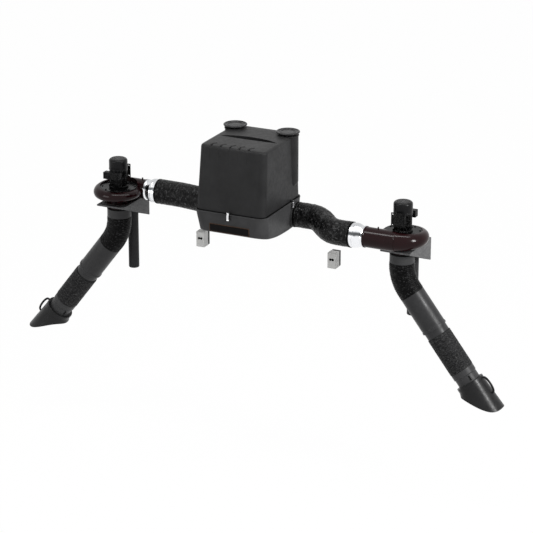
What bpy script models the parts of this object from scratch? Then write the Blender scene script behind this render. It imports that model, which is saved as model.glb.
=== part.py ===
"""Wall-mounted welding fume extractor with two telescopic arms.

A filter unit hangs on the wall between two fans on brackets. Each fan draws air up an arm with a hood
and blows it through a ribbed duct into the tub of the filter unit. Clean air leaves through two caps.

Frame: metres, +Z up, X along the wall, Y into the wall. The origin is on the wall behind the filter
unit, at the height of the duct axes. The object stands out from the wall towards -Y.
"""
import math

import bmesh
import bpy
from mathutils import Matrix, Vector

OBJECT_NAME = "wall_fume_extractor"

# Layout on the wall
arm_spacing = 2.586
right_arm_x = 1.313
left_arm_x = right_arm_x - arm_spacing
arm_axis_y = -0.298
deck_top_z = -0.086

# Shared clearances and counts
seat_gap = 0.0003
slide_gap = 0.0003
cut_overrun = 0.004
weld_step = 0.001
round_steps = 14
medium_round_steps = 12
small_round_steps = 8
hole_steps = 6
corner_steps = 4
sharp_angle = 35
flat_angle = 0.05

# Hoses and their spigots
hose_crest_r = 0.1060
hose_valley_r = 0.1002
hose_bore_r = 0.0984
hose_rib_pitch = 0.045
hose_bevel_steps = 2
hose_crest_share = 0.3
hose_valley_share = 0.8
duct_straight_share = 0.16
spigot_r = 0.0905
spigot_wall = 0.002
spigot_length = 0.020

# Filter unit tub
tub_half_width = 0.322
tub_front_y = -0.778
tub_back_y = -0.045
tub_rim_z = 0.130
tub_floor_z = -0.112
tub_floor_front_z = -0.046
tub_floor_slope_length = 0.215
tub_side_draft = 0.014
tub_front_draft = 0.020
tub_corner_r = 0.066
tub_floor_corner_r = 0.080
tub_back_corner_r = 0.080
tub_wall = 0.005
tub_edge_r = 0.018
rim_lip = 0.003
rim_lip_height = 0.012
flange_width = 0.040
flange_thickness = 0.005
inlet_y = -0.185
inlet_bore_r = 0.0875
inlet_pad_r = 0.108
inlet_pad_depth = 0.050
inlet_pad_stand = 0.006
inlet_flange_r = 0.105
inlet_flange_thickness = 0.003

# Wall frame behind the tub
frame_side_margin = 0.092
frame_width = 2 * (tub_half_width - frame_side_margin)
frame_height = 0.190
frame_sheet = 0.004
frame_bolt_r = 0.0055
frame_bolt_inset = 0.040

# Panel let into the front of the tub
panel_side_margin = 0.1435
panel_width = 2 * (tub_half_width - panel_side_margin)
panel_height = 0.070
panel_thickness = 0.0025
panel_z = -0.004
panel_border = 0.006
panel_border_depth = 0.001

# Lid
lid_margin = 0.014
lid_back_margin = 0.025
lid_half_width = tub_half_width - lid_margin
lid_front_y = tub_front_y + lid_margin
lid_back_y = tub_back_y - lid_back_margin
lid_corner_r = 0.056
lid_side_draft = 0.014
lid_front_draft = 0.052
lid_back_draft = 0.008
lid_top_z = 0.664
lid_edge_r = 0.024
lid_edge_steps = 2
cowl_edge_steps = 2
lid_crown = 0.003
lid_crown_inset = 0.090
lid_wall = 0.005
seal_thickness = 0.004
seal_width = 0.0075
seal_lap = 0.010

# Outlet columns at the back corners of the lid, and their caps
column_side_margin = 0.0695
column_back_margin = 0.100
column_x = lid_half_width - column_side_margin
column_y = lid_back_y - column_back_margin
column_r = 0.086
column_wall = 0.005
column_low_z = 0.274
column_taper = 0.060
column_taper_r = 0.045
column_rim_r = 0.090
column_rim_height = 0.012
column_stand = 0.004
cap_r = 0.098
cap_hollow_r = 0.078
cap_hollow_depth = 0.0025
cap_thickness = 0.007
cap_dome = 0.003
cap_lift = 0.019
cap_ring_wall = 0.005
cap_ring_depth = 0.018
cap_rib_count = 5
cap_rib_thickness = 0.005

# Handle recess in the lid top, and the flutes over its front edge
recess_left_margin = 0.071
recess_right_margin = 0.061
recess_left_x = recess_left_margin - lid_half_width
recess_right_x = lid_half_width - recess_right_margin
recess_front_share = 0.478
recess_y = lid_front_y + (lid_back_y - lid_front_y) * recess_front_share
recess_front_sag = 0.028
recess_back_sag = 0.058
recess_depth = 0.034
recess_wall = 0.006
recess_steps = 8
flute_count = 5
flute_spacing_share = 0.27
flute_middle_share = -0.090
flute_spacing = lid_half_width * flute_spacing_share
flute_middle_x = lid_half_width * flute_middle_share
flute_r = 0.0065
flute_depth = 0.0035
flute_drop = 0.100
flute_back = 0.045
flute_bend_r = 0.036
flute_bend_steps = 3
flute_turn = 72

# Filter inside
tray_margin = 0.012
tray_thickness = 0.002
filter_side_margin = 0.083
filter_end_margin = 0.092
filter_forward = 0.017
filter_centre_y = (lid_front_y + lid_back_y) / 2 + filter_forward
prefilter_width = 2 * (lid_half_width - filter_side_margin)
prefilter_depth = lid_back_y - lid_front_y - 2 * filter_end_margin
tray_lap = 0.025
tray_opening_width = prefilter_width - 2 * tray_lap
tray_opening_depth = prefilter_depth - 2 * tray_lap
prefilter_thickness = 0.020
prefilter_border = 0.022
prefilter_pocket = 0.007
cartridge_inset = 0.010
cartridge_width = prefilter_width - 2 * cartridge_inset
cartridge_depth = prefilter_depth - 2 * cartridge_inset
cartridge_height = 0.340
cartridge_end = 0.014
cartridge_core_inset = 0.045
cartridge_core_width = cartridge_width - 2 * cartridge_core_inset
cartridge_core_depth = cartridge_depth - 2 * cartridge_core_inset
pleat_count = 12
pleat_depth = 0.026
pleat_inset = 0.008

# Toggle latches
latch_pivot_stand = 0.0085
latch_pivot_z = 0.083
latch_width = 0.018
latch_sheet = 0.003
latch_rise = 0.060
latch_lift = 0.007
latch_pin_r = 0.003
latch_eye_r = 0.0055
latch_ear_thickness = 0.004
latch_ear_height = 0.012
latch_ear_root = 0.024
latch_ear_nose = 0.006
latch_keeper_height = 0.012
latch_keeper_root = 0.027
side_latch_y = -0.268

# Wall bracket
bracket_width = 0.254
bracket_reach = 0.453
bracket_drop = 0.192
bracket_sheet = 0.006
bracket_lip = 0.014
gusset_thickness = 0.005
bracket_hole_r = 0.098
bracket_bolt_r = 0.0065
bracket_bolt_x = 0.095
bracket_bolt_top = 0.045
bracket_bolt_low = 0.150

# Support post
post_r = 0.045
post_wall = 0.003
post_y = -0.060
post_bottom_z = -0.751
post_edge_r = 0.006

# Fan housing: volute round a flat drum
fan_wall = 0.004
drum_r = 0.165
drum_half_height = 0.038
volute_start_r = 0.032
volute_end_r = 0.080
outlet_r = 0.083
outlet_offset = 0.148
volute_start_reach = 0.185
volute_start_angle = 60
volute_sweep = 330
volute_steps = 11
volute_bevel_steps = 3
outlet_overlap = 0.012
outlet_bead_r = 0.0875
outlet_bead_width = 0.010
left_outlet_reach = 0.190
right_outlet_reach = 0.258
fan_top_opening_r = 0.135
fan_inlet_r = 0.0865
fan_neck_r = 0.0900
fan_foot_r = 0.118
fan_foot_thickness = 0.006
swivel_flange_r = 0.0965
swivel_flange_thickness = 0.004
swivel_flange_z = -0.152
port_r = 0.006
port_height = 0.016
port_x = -0.148

# Motor plate, rotor, motor
motor_plate_r = 0.155
motor_plate_thickness = 0.008
shaft_r = 0.012
impeller_r = 0.130
impeller_backplate = 0.003
impeller_top_clearance = 0.003
blade_count = 8
blade_height = 0.052
blade_thickness = 0.002
blade_inner_r = 0.070
blade_lag = 34
blade_steps = 2
hub_r = 0.022
hub_height = 0.030
shaft_into_motor = 0.028
motor_r = 0.066
motor_fin_r = 0.074
motor_fin_count = 12
motor_fin_share = 0.42
motor_height = 0.151
motor_flange_r = 0.082
motor_flange_thickness = 0.010
foot_width = 0.120
foot_height = 0.117
foot_thickness = 0.008
foot_y = -0.100
foot_low_z = 0.104
foot_web_thickness = 0.008
foot_web_height = 0.080
foot_web_x = 0.034
foot_hole_r = 0.006
foot_hole_inset = 0.014
cowl_r = 0.078
cowl_height = 0.095
cowl_edge_r = 0.022
cowl_sheet = 0.002
cowl_slot_count = 4
cowl_slot_r = 0.008
cowl_slot_ring_r = 0.046
terminal_width = 0.150
terminal_depth = 0.052
terminal_height = 0.060
terminal_low_z = 0.138
terminal_pad_width = 0.060
terminal_pad_height = 0.044
terminal_pad_y = 0.0775
terminal_edge_r = 0.006

# Reducer between fan outlet and duct hose
reducer_length = 0.110
reducer_collar_r = 0.0870
reducer_collar_width = 0.012
reducer_cone_start = 0.020
reducer_cone_end = 0.062
reducer_small_r = 0.0820
reducer_large_r = 0.1000
reducer_wall = 0.002

# Swivel collar, hanger and elbow
collar_r = 0.1015
collar_wall = 0.002
collar_top_z = -0.136
collar_bottom_z = -0.216
hanger_thickness = 0.006
hanger_width = 0.030
hanger_bar_height = 0.016
elbow_z = -0.356
elbow_angle = 37.5
elbow_pin_r = 0.006
elbow_head_r = 0.010
elbow_head_thickness = 0.003
fork_thickness = 0.004
elbow_straight = 0.022

# Arm stations, as distances from the elbow along the arm
tube_top_s = 0.190
tube_lip_s = 0.468
tube_end_s = 0.485
cuff_end_s = 0.545
neck_top_s = 0.880
neck_cuff_end_s = 0.930
neck_taper = 0.006
neck_flange_s = 1.015
damper_s = 0.978
hood_rim_s = 0.998
hood_inner_s = 1.065
hood_outer_s = 1.310

# Arm tube and telescope
tube_r = 0.1025
tube_wall = 0.002
tube_lip_r = 0.1068
cuff_r = 0.0965
sleeve_r = 0.0165
sleeve_wall = 0.003
sleeve_top_s = 0.205
sleeve_end_s = 0.660
rod_wall = 0.003
rod_top_s = 0.345
rod_boss_r = 0.0205
rod_boss_height = 0.024
rod_boss_web = 0.004

# Hood neck, damper and hood
neck_cuff_r = 0.1000
neck_r = 0.0945
neck_flange_r = 0.104
neck_flange_thickness = 0.004
damper_clearance = 0.004
damper_disc_thickness = 0.002
damper_shaft_r = 0.004
damper_end = 0.012
lever_width = 0.010
lever_length = 0.034
lever_sheet = 0.003
lever_stand = 0.003
lever_tab = 0.010
left_lever_turn = 140
right_lever_turn = -49
hood_rim_r = 0.1185
hood_rim_width = 0.036
hood_shell_r = 0.1170
hood_sheet = 0.003
hood_mouth_r = 0.127
hood_mouth_side_r = 0.138
hood_lip_chamfer = 0.007
hood_round_steps = 16
hood_length_steps = 2
handle_r = 0.006
handle_top_s = 1.020
handle_low_s = 1.165
handle_stand = 0.034
handle_root = 0.0015
handle_steps = 8

# Switch boxes
switch_x = 0.607
switch_z = -0.388
switch_width = 0.076
switch_height = 0.135
switch_depth = 0.072
switch_back_depth = 0.034
switch_back_inset = 0.002
switch_edge_r = 0.004
button_r = 0.008
button_spacing = 0.021
button_rise = 0.010
button_stand = 0.0045
button_depth = 0.006
button_travel = 0.003

SIDES = (("left", -1), ("right", 1))


def clear_scene():
    for obj in list(bpy.data.objects):
        bpy.data.objects.remove(obj, do_unlink=True)


def make_collection(name):
    collection = bpy.data.collections.new(name)
    bpy.context.scene.collection.children.link(collection)
    return collection


def make_material(name, colour, roughness, metallic):
    material = bpy.data.materials.new(name)
    material.use_nodes = True
    shader = material.node_tree.nodes["Principled BSDF"]
    shader.inputs["Base Color"].default_value = (*colour, 1.0)
    shader.inputs["Roughness"].default_value = roughness
    shader.inputs["Metallic"].default_value = metallic
    return material


clear_scene()
part_collection = make_collection(OBJECT_NAME)
cutter_collection = make_collection("cutters")

moulded_black = make_material("moulded_black", (0.030, 0.030, 0.032), 0.55, 0.0)
moulded_grey = make_material("moulded_grey", (0.050, 0.050, 0.052), 0.55, 0.0)
painted_steel = make_material("painted_steel", (0.110, 0.110, 0.115), 0.45, 0.1)
black_steel = make_material("black_steel", (0.020, 0.020, 0.022), 0.40, 0.2)
cast_maroon = make_material("cast_maroon", (0.045, 0.014, 0.016), 0.25, 0.3)
tube_grey = make_material("tube_grey", (0.060, 0.061, 0.064), 0.38, 0.2)
hood_grey = make_material("hood_grey", (0.055, 0.056, 0.058), 0.42, 0.0)
hose_black = make_material("hose_black", (0.014, 0.014, 0.015), 0.70, 0.0)
bright_metal = make_material("bright_metal", (0.720, 0.730, 0.750), 0.22, 1.0)
bare_steel = make_material("bare_steel", (0.420, 0.420, 0.430), 0.35, 1.0)
rubber = make_material("rubber", (0.010, 0.010, 0.010), 0.80, 0.0)
filter_paper = make_material("filter_paper", (0.620, 0.600, 0.520), 0.90, 0.0)
switch_grey = make_material("switch_grey", (0.480, 0.480, 0.470), 0.45, 0.0)
button_black = make_material("button_black", (0.008, 0.008, 0.009), 0.35, 0.0)


def add_empty(name, location, rotation=(0, 0, 0), parent=None):
    empty = bpy.data.objects.new(name, None)
    part_collection.objects.link(empty)
    empty.location = location
    empty.rotation_euler = rotation
    empty.parent = parent
    return empty


def add_object(name, data, material, parent, location, rotation):
    obj = bpy.data.objects.new(name, data)
    if material is None:
        cutter_collection.objects.link(obj)
        obj.hide_render = True
        obj.display_type = "WIRE"
    else:
        part_collection.objects.link(obj)
        data.materials.append(material)
    obj.location = location
    obj.rotation_euler = rotation
    obj.parent = parent
    return obj


def mesh_from(name, build):
    """A mesh that a bmesh function builds."""
    bm = bmesh.new()
    build(bm)
    mesh = bpy.data.meshes.new(name)
    bm.to_mesh(mesh)
    bm.free()
    return mesh


def box(name, size, material=None, parent=None, location=(0, 0, 0), rotation=(0, 0, 0)):
    mesh = mesh_from(name,
                     lambda bm: bmesh.ops.create_cube(bm, size=1.0, matrix=Matrix.Diagonal((*size, 1.0))))
    return add_object(name, mesh, material, parent, location, rotation)


def cylinder(name, radius, length, material=None, parent=None, location=(0, 0, 0), rotation=(0, 0, 0),
             steps=round_steps):
    """A closed cylinder along local Z whose corners start at +X, as those of a turned profile do."""
    quarter_turn = Matrix.Rotation(-math.pi / 2, 4, "Z")

    def build(bm):
        bmesh.ops.create_cone(bm, cap_ends=True, segments=steps, radius1=radius, radius2=radius,
                              depth=length, matrix=quarter_turn)
    return add_object(name, mesh_from(name, build), material, parent, location, rotation)


def turned(name, profile, material=None, parent=None, location=(0, 0, 0), rotation=(0, 0, 0),
           steps=round_steps):
    """A profile of (radius, height) points turned round Z. One that meets the axis is left open there."""
    area = sum(a[0] * b[1] - b[0] * a[1] for a, b in zip(profile, profile[1:] + profile[:1]))
    points = profile if area < 0 else profile[::-1]
    on_axis = any(point[0] == 0 for point in points)
    if on_axis:
        start = next(i for i, point in enumerate(points) if point[0] == 0 and points[i - 1][0] == 0)
        points = points[start:] + points[:start]
    mesh = bpy.data.meshes.new(name)
    edges = [(i, i + 1) for i in range(len(points) - 1)]
    if not on_axis:
        edges.append((len(points) - 1, 0))
    mesh.from_pydata([(radius, 0, height) for radius, height in points], edges, [])
    obj = add_object(name, mesh, material, parent, location, rotation)
    screw = obj.modifiers.new("turn", "SCREW")
    screw.axis = "Z"
    screw.steps = steps
    screw.render_steps = steps
    screw.use_merge_vertices = True
    screw.merge_threshold = 0.00001
    screw.use_smooth_shade = True
    return obj


def mesh_of_curve(obj):
    """Replaces a curve object with a welded mesh object of the same name and place."""
    bpy.context.view_layer.update()
    evaluated = obj.evaluated_get(bpy.context.evaluated_depsgraph_get())
    mesh = bpy.data.meshes.new_from_object(evaluated)
    bm = bmesh.new()
    bm.from_mesh(mesh)
    bmesh.ops.remove_doubles(bm, verts=bm.verts, dist=0.00001)
    bmesh.ops.recalc_face_normals(bm, faces=bm.faces)
    bm.to_mesh(mesh)
    bm.free()
    name = obj.name
    material = obj.data.materials[0] if obj.data.materials else None
    parent, location, rotation = obj.parent, obj.location.copy(), obj.rotation_euler.copy()
    bpy.data.objects.remove(obj, do_unlink=True)
    mesh.name = name
    mesh.materials.clear()
    return add_object(name, mesh, material, parent, location, rotation)


def plate(name, outlines, thickness, material=None, parent=None, location=(0, 0, 0), rotation=(0, 0, 0)):
    """Flat outlines in local X and Y, one inside another being a hole, extruded about local Z."""
    curve = bpy.data.curves.new(name, "CURVE")
    curve.dimensions = "2D"
    curve.fill_mode = "BOTH"
    curve.extrude = thickness / 2
    for outline in outlines:
        spline = curve.splines.new("POLY")
        spline.points.add(len(outline) - 1)
        for point, (x, y) in zip(spline.points, outline):
            point.co = (x, y, 0, 1)
        spline.use_cyclic_u = True
    obj = add_object(name, curve, material, parent, location, rotation)
    return mesh_of_curve(obj)


def tube(name, points, radii, material=None, parent=None, location=(0, 0, 0), rotation=(0, 0, 0),
         bevel_steps=2):
    """A tube along points, with a radius at each point."""
    curve = bpy.data.curves.new(name, "CURVE")
    curve.dimensions = "3D"
    curve.bevel_depth = max(radii)
    curve.bevel_resolution = bevel_steps
    curve.use_fill_caps = True
    spline = curve.splines.new("POLY")
    spline.points.add(len(points) - 1)
    for point, place, radius in zip(spline.points, points, radii):
        point.co = (*place, 1)
        point.radius = radius / max(radii)
    obj = add_object(name, curve, material, parent, location, rotation)
    return mesh_of_curve(obj)


def loft(name, rings, material=None, parent=None, location=(0, 0, 0), rotation=(0, 0, 0), closed=False):
    """Rings of equally many points joined by quads, with end caps unless the last ring is the first."""
    count = len(rings[0])

    def build(bm):
        distinct = rings[:-1] if closed else rings
        verts = [[bm.verts.new(point) for point in ring] for ring in distinct]
        if closed:
            verts.append(verts[0])
        for low, high in zip(verts, verts[1:]):
            for i in range(count):
                j = (i + 1) % count
                bm.faces.new((low[i], low[j], high[j], high[i]))
        if not closed:
            bm.faces.new(verts[0][::-1])
            bm.faces.new(verts[-1])
        bmesh.ops.recalc_face_normals(bm, faces=bm.faces)
    return add_object(name, mesh_from(name, build), material, parent, location, rotation)


def combine(obj, other, operation, solver):
    modifier = obj.modifiers.new(other.name, "BOOLEAN")
    modifier.operation = operation
    modifier.solver = solver
    modifier.object = other


def fuse(obj, *others, solver="EXACT"):
    for other in others:
        combine(obj, other, "UNION", solver)


def cut(obj, *others, solver="EXACT"):
    for other in others:
        combine(obj, other, "DIFFERENCE", solver)


def round_edges(obj, radius, segments=2):
    bevel = obj.modifiers.new("round_edges", "BEVEL")
    bevel.width = radius
    bevel.segments = segments
    bevel.limit_method = "ANGLE"


def merge_flats(obj):
    """Joins the flat faces that cuts have split."""
    modifier = obj.modifiers.new("merge_flats", "DECIMATE")
    modifier.decimate_type = "DISSOLVE"
    modifier.angle_limit = math.radians(flat_angle)


def smooth(obj):
    obj.data.shade_smooth()
    obj.data.set_sharp_from_angle(angle=math.radians(sharp_angle))
    return obj


def running_r(radius, steps):
    """The radius of a faceted hole that a round of this radius can turn in."""
    return (radius + slide_gap) / math.cos(math.pi / steps)


def circle(radius, centre=(0, 0), steps=round_steps):
    return [(centre[0] + radius * math.cos(math.tau * i / steps),
             centre[1] + radius * math.sin(math.tau * i / steps)) for i in range(steps)]


def rectangle(width, height, centre=(0, 0)):
    return [(centre[0] + sx * width / 2, centre[1] + sy * height / 2)
            for sx, sy in ((-1, -1), (1, -1), (1, 1), (-1, 1))]


def ring_outline(half_width, front, back, front_r, back_r):
    """A rounded rectangle in X and Y, anticlockwise from the front right corner."""
    corners = (
        (half_width - front_r, front + front_r, front_r, -90),
        (half_width - back_r, back - back_r, back_r, 0),
        (-half_width + back_r, back - back_r, back_r, 90),
        (-half_width + front_r, front + front_r, front_r, 180),
    )
    points = []
    for x, y, radius, start in corners:
        for step in range(corner_steps + 1):
            angle = math.radians(start + 90 * step / corner_steps)
            points.append((x + radius * math.cos(angle), y + radius * math.sin(angle)))
    return points


def ring(half_width, front, back, front_r, back_r, height):
    """The same rounded rectangle in space, at a height."""
    return [(x, y, height) for x, y in ring_outline(half_width, front, back, front_r, back_r)]


def tub_wall_y(z):
    """The front wall's outer face at a height above the floor's rounded edge."""
    low_z = tub_floor_z + tub_edge_r
    high_z = tub_rim_z - rim_lip_height
    share = (z - low_z) / (high_z - low_z)
    low_y = tub_front_y + tub_front_draft
    return low_y + (tub_front_y + rim_lip - low_y) * share


def tub_rings():
    half = tub_half_width - tub_side_draft
    front = tub_front_y + tub_front_draft
    rings = []
    for angle in (0, 45, 90):
        inset = tub_edge_r * (1 - math.sin(math.radians(angle)))
        rise = tub_edge_r * (1 - math.cos(math.radians(angle)))
        rings.append(ring(half - inset, front + inset, tub_back_y - inset, tub_floor_corner_r - inset,
                          tub_back_corner_r - inset, tub_floor_z + rise))
    low_lip_z = tub_rim_z - rim_lip_height
    rings.append(ring(tub_half_width - rim_lip, tub_front_y + rim_lip, tub_back_y, tub_corner_r,
                      tub_back_corner_r, low_lip_z))
    for z in (low_lip_z + rim_lip, tub_rim_z):
        rings.append(ring(tub_half_width, tub_front_y, tub_back_y, tub_corner_r, tub_back_corner_r, z))
    return rings


def tub_cavity_rings():
    half = tub_half_width - tub_side_draft
    front = tub_front_y + tub_front_draft
    low_r = tub_floor_corner_r - tub_wall
    back_r = tub_back_corner_r - tub_wall
    inset = tub_edge_r
    return [
        ring(half - inset, front + inset, tub_back_y - inset, low_r - inset, back_r - inset + tub_wall,
             tub_floor_z + tub_wall),
        ring(half - tub_wall, front + tub_wall, tub_back_y - tub_wall, low_r, back_r,
             tub_floor_z + tub_edge_r + tub_wall),
        ring(tub_half_width - rim_lip - tub_wall, tub_front_y + rim_lip + tub_wall, tub_back_y - tub_wall,
             tub_corner_r - tub_wall, back_r, tub_rim_z - flange_thickness),
    ]


def under_slope(margin):
    """What lies below the sloping front part of the floor, moved up by a margin."""
    slope = math.atan2(tub_floor_front_z - tub_floor_z, tub_floor_slope_length)
    front = tub_wall_y(tub_floor_front_z)
    length = 2 * tub_floor_slope_length
    depth = tub_floor_slope_length
    middle_y = front + tub_floor_slope_length / 2
    middle_z = (tub_floor_front_z + tub_floor_z) / 2
    drop = depth / 2 - margin
    place = (0, middle_y - drop * math.sin(slope), middle_z - drop * math.cos(slope))
    return box("under_slope", (2 * tub_half_width, length, depth), None, None, place, (-slope, 0, 0))


def pad_face_x():
    return tub_half_width + inlet_pad_stand


def latch_places():
    """Each latch's name, pivot place and turn about Z."""
    side_x = tub_half_width + latch_pivot_stand
    return (
        ("latch_front", (0, tub_front_y - latch_pivot_stand, latch_pivot_z), 0),
        ("latch_left", (-side_x, side_latch_y, latch_pivot_z), -math.pi / 2),
        ("latch_right", (side_x, side_latch_y, latch_pivot_z), math.pi / 2),
    )


def build_wall_frame():
    depth = -tub_back_y - seat_gap
    half = frame_height / 2
    channel = [
        (0, -half), (0, half), (-depth, half), (-depth, half - frame_sheet),
        (-frame_sheet, half - frame_sheet),
        (-frame_sheet, -half + frame_sheet), (-depth, -half + frame_sheet), (-depth, -half),
    ]
    frame = plate("wall_frame", [channel], frame_width, painted_steel,
                  rotation=(math.pi / 2, 0, math.pi / 2))
    for sx in (-1, 1):
        for sz in (-1, 1):
            place = (sx * (frame_width / 2 - frame_bolt_inset), -frame_sheet / 2,
                     sz * (half - frame_bolt_inset))
            cut(frame,
                cylinder("frame_bolt_hole", frame_bolt_r, frame_sheet + 2 * cut_overrun, None, None, place,
                                (math.pi / 2, 0, 0), hole_steps))


def build_tub(latch_frames):
    tub = loft("base_tub", tub_rings(), moulded_grey)
    cut(tub, under_slope(0))
    for _, sign in SIDES:
        place = (sign * (pad_face_x() - inlet_pad_depth / 2), inlet_y, 0)
        fuse(tub,
             cylinder("inlet_pad", inlet_pad_r, inlet_pad_depth, None, None, place, (0, math.pi / 2, 0)))
    for frame in latch_frames:
        for sx in (-1, 1):
            ear_x = sx * (latch_width / 2 + slide_gap + latch_ear_thickness / 2)
            ear_y = (latch_ear_root - latch_ear_nose) / 2
            size = (latch_ear_thickness, latch_ear_root + latch_ear_nose, latch_ear_height)
            ear = box("latch_ear", size, None, frame, (ear_x, ear_y, 0))
            fuse(tub, ear)
    cavity = loft("tub_cavity", tub_cavity_rings())
    cut(cavity, under_slope(tub_wall))
    cut(tub, cavity)
    opening = [
        ring(tub_half_width - flange_width, tub_front_y + flange_width, tub_back_y - flange_width,
             tub_corner_r - flange_width / 2, tub_back_corner_r - flange_width, z)
        for z in (tub_rim_z - flange_thickness - cut_overrun, tub_rim_z + cut_overrun)
    ]
    cut(tub, loft("tub_opening", opening))
    for _, sign in SIDES:
        place = (sign * (pad_face_x() - inlet_pad_depth / 2), inlet_y, 0)
        cut(tub, cylinder("inlet_bore", inlet_bore_r, inlet_pad_depth + 2 * cut_overrun, None, None, place,
                          (0, math.pi / 2, 0)))
    for frame in latch_frames:
        length = latch_width + 2 * (latch_ear_thickness + slide_gap + cut_overrun)
        cut(tub, cylinder("latch_pin_hole", running_r(latch_pin_r, hole_steps), length, None, frame,
                          rotation=(0, math.pi / 2, 0), steps=hole_steps))
    cut(tub, panel_block("panel_recess", panel_thickness + seat_gap, seat_gap, None))
    return tub


def panel_tilt():
    low_z = tub_floor_z + tub_edge_r
    high_z = tub_rim_z - rim_lip_height
    return math.atan2(tub_wall_y(low_z) - tub_wall_y(high_z), high_z - low_z)


def panel_block(name, depth, margin, material):
    """A box that lies in the tub's sloping front wall, with its back at a depth below the surface."""
    proud = 0 if material else cut_overrun
    size = (panel_width + 2 * margin, depth - (0 if not material else seat_gap) + proud,
            panel_height + 2 * margin)
    tilt = panel_tilt()
    middle = depth / 2 - proud / 2 - (seat_gap / 2 if material else 0)
    place = (0, tub_wall_y(panel_z) + middle * math.cos(tilt), panel_z + middle * math.sin(tilt))
    return box(name, size, material, None, place, (tilt, 0, 0))


def build_panel():
    panel = panel_block("base_panel", panel_thickness + seat_gap, 0, moulded_black)
    tilt = panel_tilt()
    size = (panel_width - 2 * panel_border, panel_border_depth + cut_overrun,
            panel_height - 2 * panel_border)
    middle = (panel_border_depth - cut_overrun) / 2
    place = (0, tub_wall_y(panel_z) + middle * math.cos(tilt), panel_z + middle * math.sin(tilt))
    cut(panel, box("panel_field", size, None, None, place, (tilt, 0, 0)))


def build_inlet_collar(name, sign):
    inner = spigot_r - spigot_wall
    high = inlet_flange_thickness + spigot_length + seat_gap
    profile = [
        (inner, 0), (inner, high), (spigot_r, high), (spigot_r, inlet_flange_thickness),
        (inlet_flange_r, inlet_flange_thickness), (inlet_flange_r, 0),
    ]
    place = (sign * (pad_face_x() + seat_gap), inlet_y, 0)
    turned("inlet_collar_" + name, profile, bare_steel, None, place, (0, sign * math.pi / 2, 0))


def lid_bottom_z():
    return tub_rim_z + seal_thickness + 2 * seat_gap


def lid_ring(z, inset=0.0):
    """The lid's outline at a height, drawn in by the draft and by an inset."""
    share = (z - lid_bottom_z()) / (lid_top_z - lid_bottom_z())
    return (lid_half_width - lid_side_draft * share - inset, lid_front_y + lid_front_draft * share + inset,
            lid_back_y - lid_back_draft * share - inset, lid_corner_r - min(inset, lid_corner_r / 2),
            lid_corner_r - min(inset, lid_corner_r / 2))


def lid_rings():
    rings = [ring(*lid_ring(lid_bottom_z()), lid_bottom_z())]
    for step in range(lid_edge_steps + 1):
        angle = math.pi / 2 * step / lid_edge_steps
        z = lid_top_z - lid_edge_r * (1 - math.sin(angle))
        rings.append(ring(*lid_ring(z, lid_edge_r * (1 - math.cos(angle))), z))
    crown_z = lid_top_z + lid_crown
    rings.append(ring(*lid_ring(lid_top_z, lid_crown_inset), crown_z))
    return rings


def lid_cavity_rings():
    low = lid_bottom_z()
    high = lid_top_z - lid_wall
    edge = lid_edge_r - lid_wall
    return [
        ring(*lid_ring(low, lid_wall), low - cut_overrun),
        ring(*lid_ring(low, lid_wall), low),
        ring(*lid_ring(high - edge, lid_wall), high - edge),
        ring(*lid_ring(high, lid_wall + edge), high),
    ]


def column_profile():
    top = lid_top_z + column_stand
    return [
        (0, column_low_z - column_taper), (column_taper_r, column_low_z - column_taper),
        (column_r, column_low_z),
        (column_r, top - column_rim_height),
        (column_rim_r, top - column_rim_height + column_rim_r - column_r),
        (column_rim_r, top), (0, top),
    ]


def column_bore_r():
    return column_r - column_wall


def recess_outline(margin):
    """A lens of two arcs between the recess ends."""
    left = recess_left_x - 2 * margin
    right = recess_right_x + 2 * margin
    points = []
    for sign in (-1, 1):
        for step in range(recess_steps):
            share = step / recess_steps
            x = left + (right - left) * (share if sign < 0 else 1 - share)
            sag = recess_front_sag if sign < 0 else recess_back_sag
            points.append((x, recess_y + sign * (sag + margin) * math.sin(math.pi * share)))
    return points


def lid_front_wall_y(z):
    return lid_ring(z)[1]


def flute_path(x):
    """Up the front wall, round the top edge, back over the top and bending to the right."""
    out = flute_r - flute_depth
    low_z = lid_top_z - flute_drop
    points = [(x, lid_front_wall_y(low_z) - out, low_z)]
    for step in range(lid_edge_steps + 1):
        angle = math.pi / 2 * step / lid_edge_steps
        z = lid_top_z - lid_edge_r * (1 - math.sin(angle))
        y = lid_front_wall_y(z) + lid_edge_r * (1 - math.cos(angle))
        points.append((x, y - out * math.cos(angle), z + out * math.sin(angle)))
    start_y = lid_front_wall_y(lid_top_z) + lid_edge_r
    crown_slope = lid_crown / (lid_crown_inset - lid_edge_r)
    for step in range(flute_bend_steps + 1):
        angle = math.radians(flute_turn) * step / flute_bend_steps
        y = start_y + flute_back / 2 + flute_bend_r * math.sin(angle)
        bend_x = x + flute_bend_r * (1 - math.cos(angle))
        points.append((bend_x, y, lid_top_z + out + (y - start_y) * crown_slope))
    return points


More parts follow.
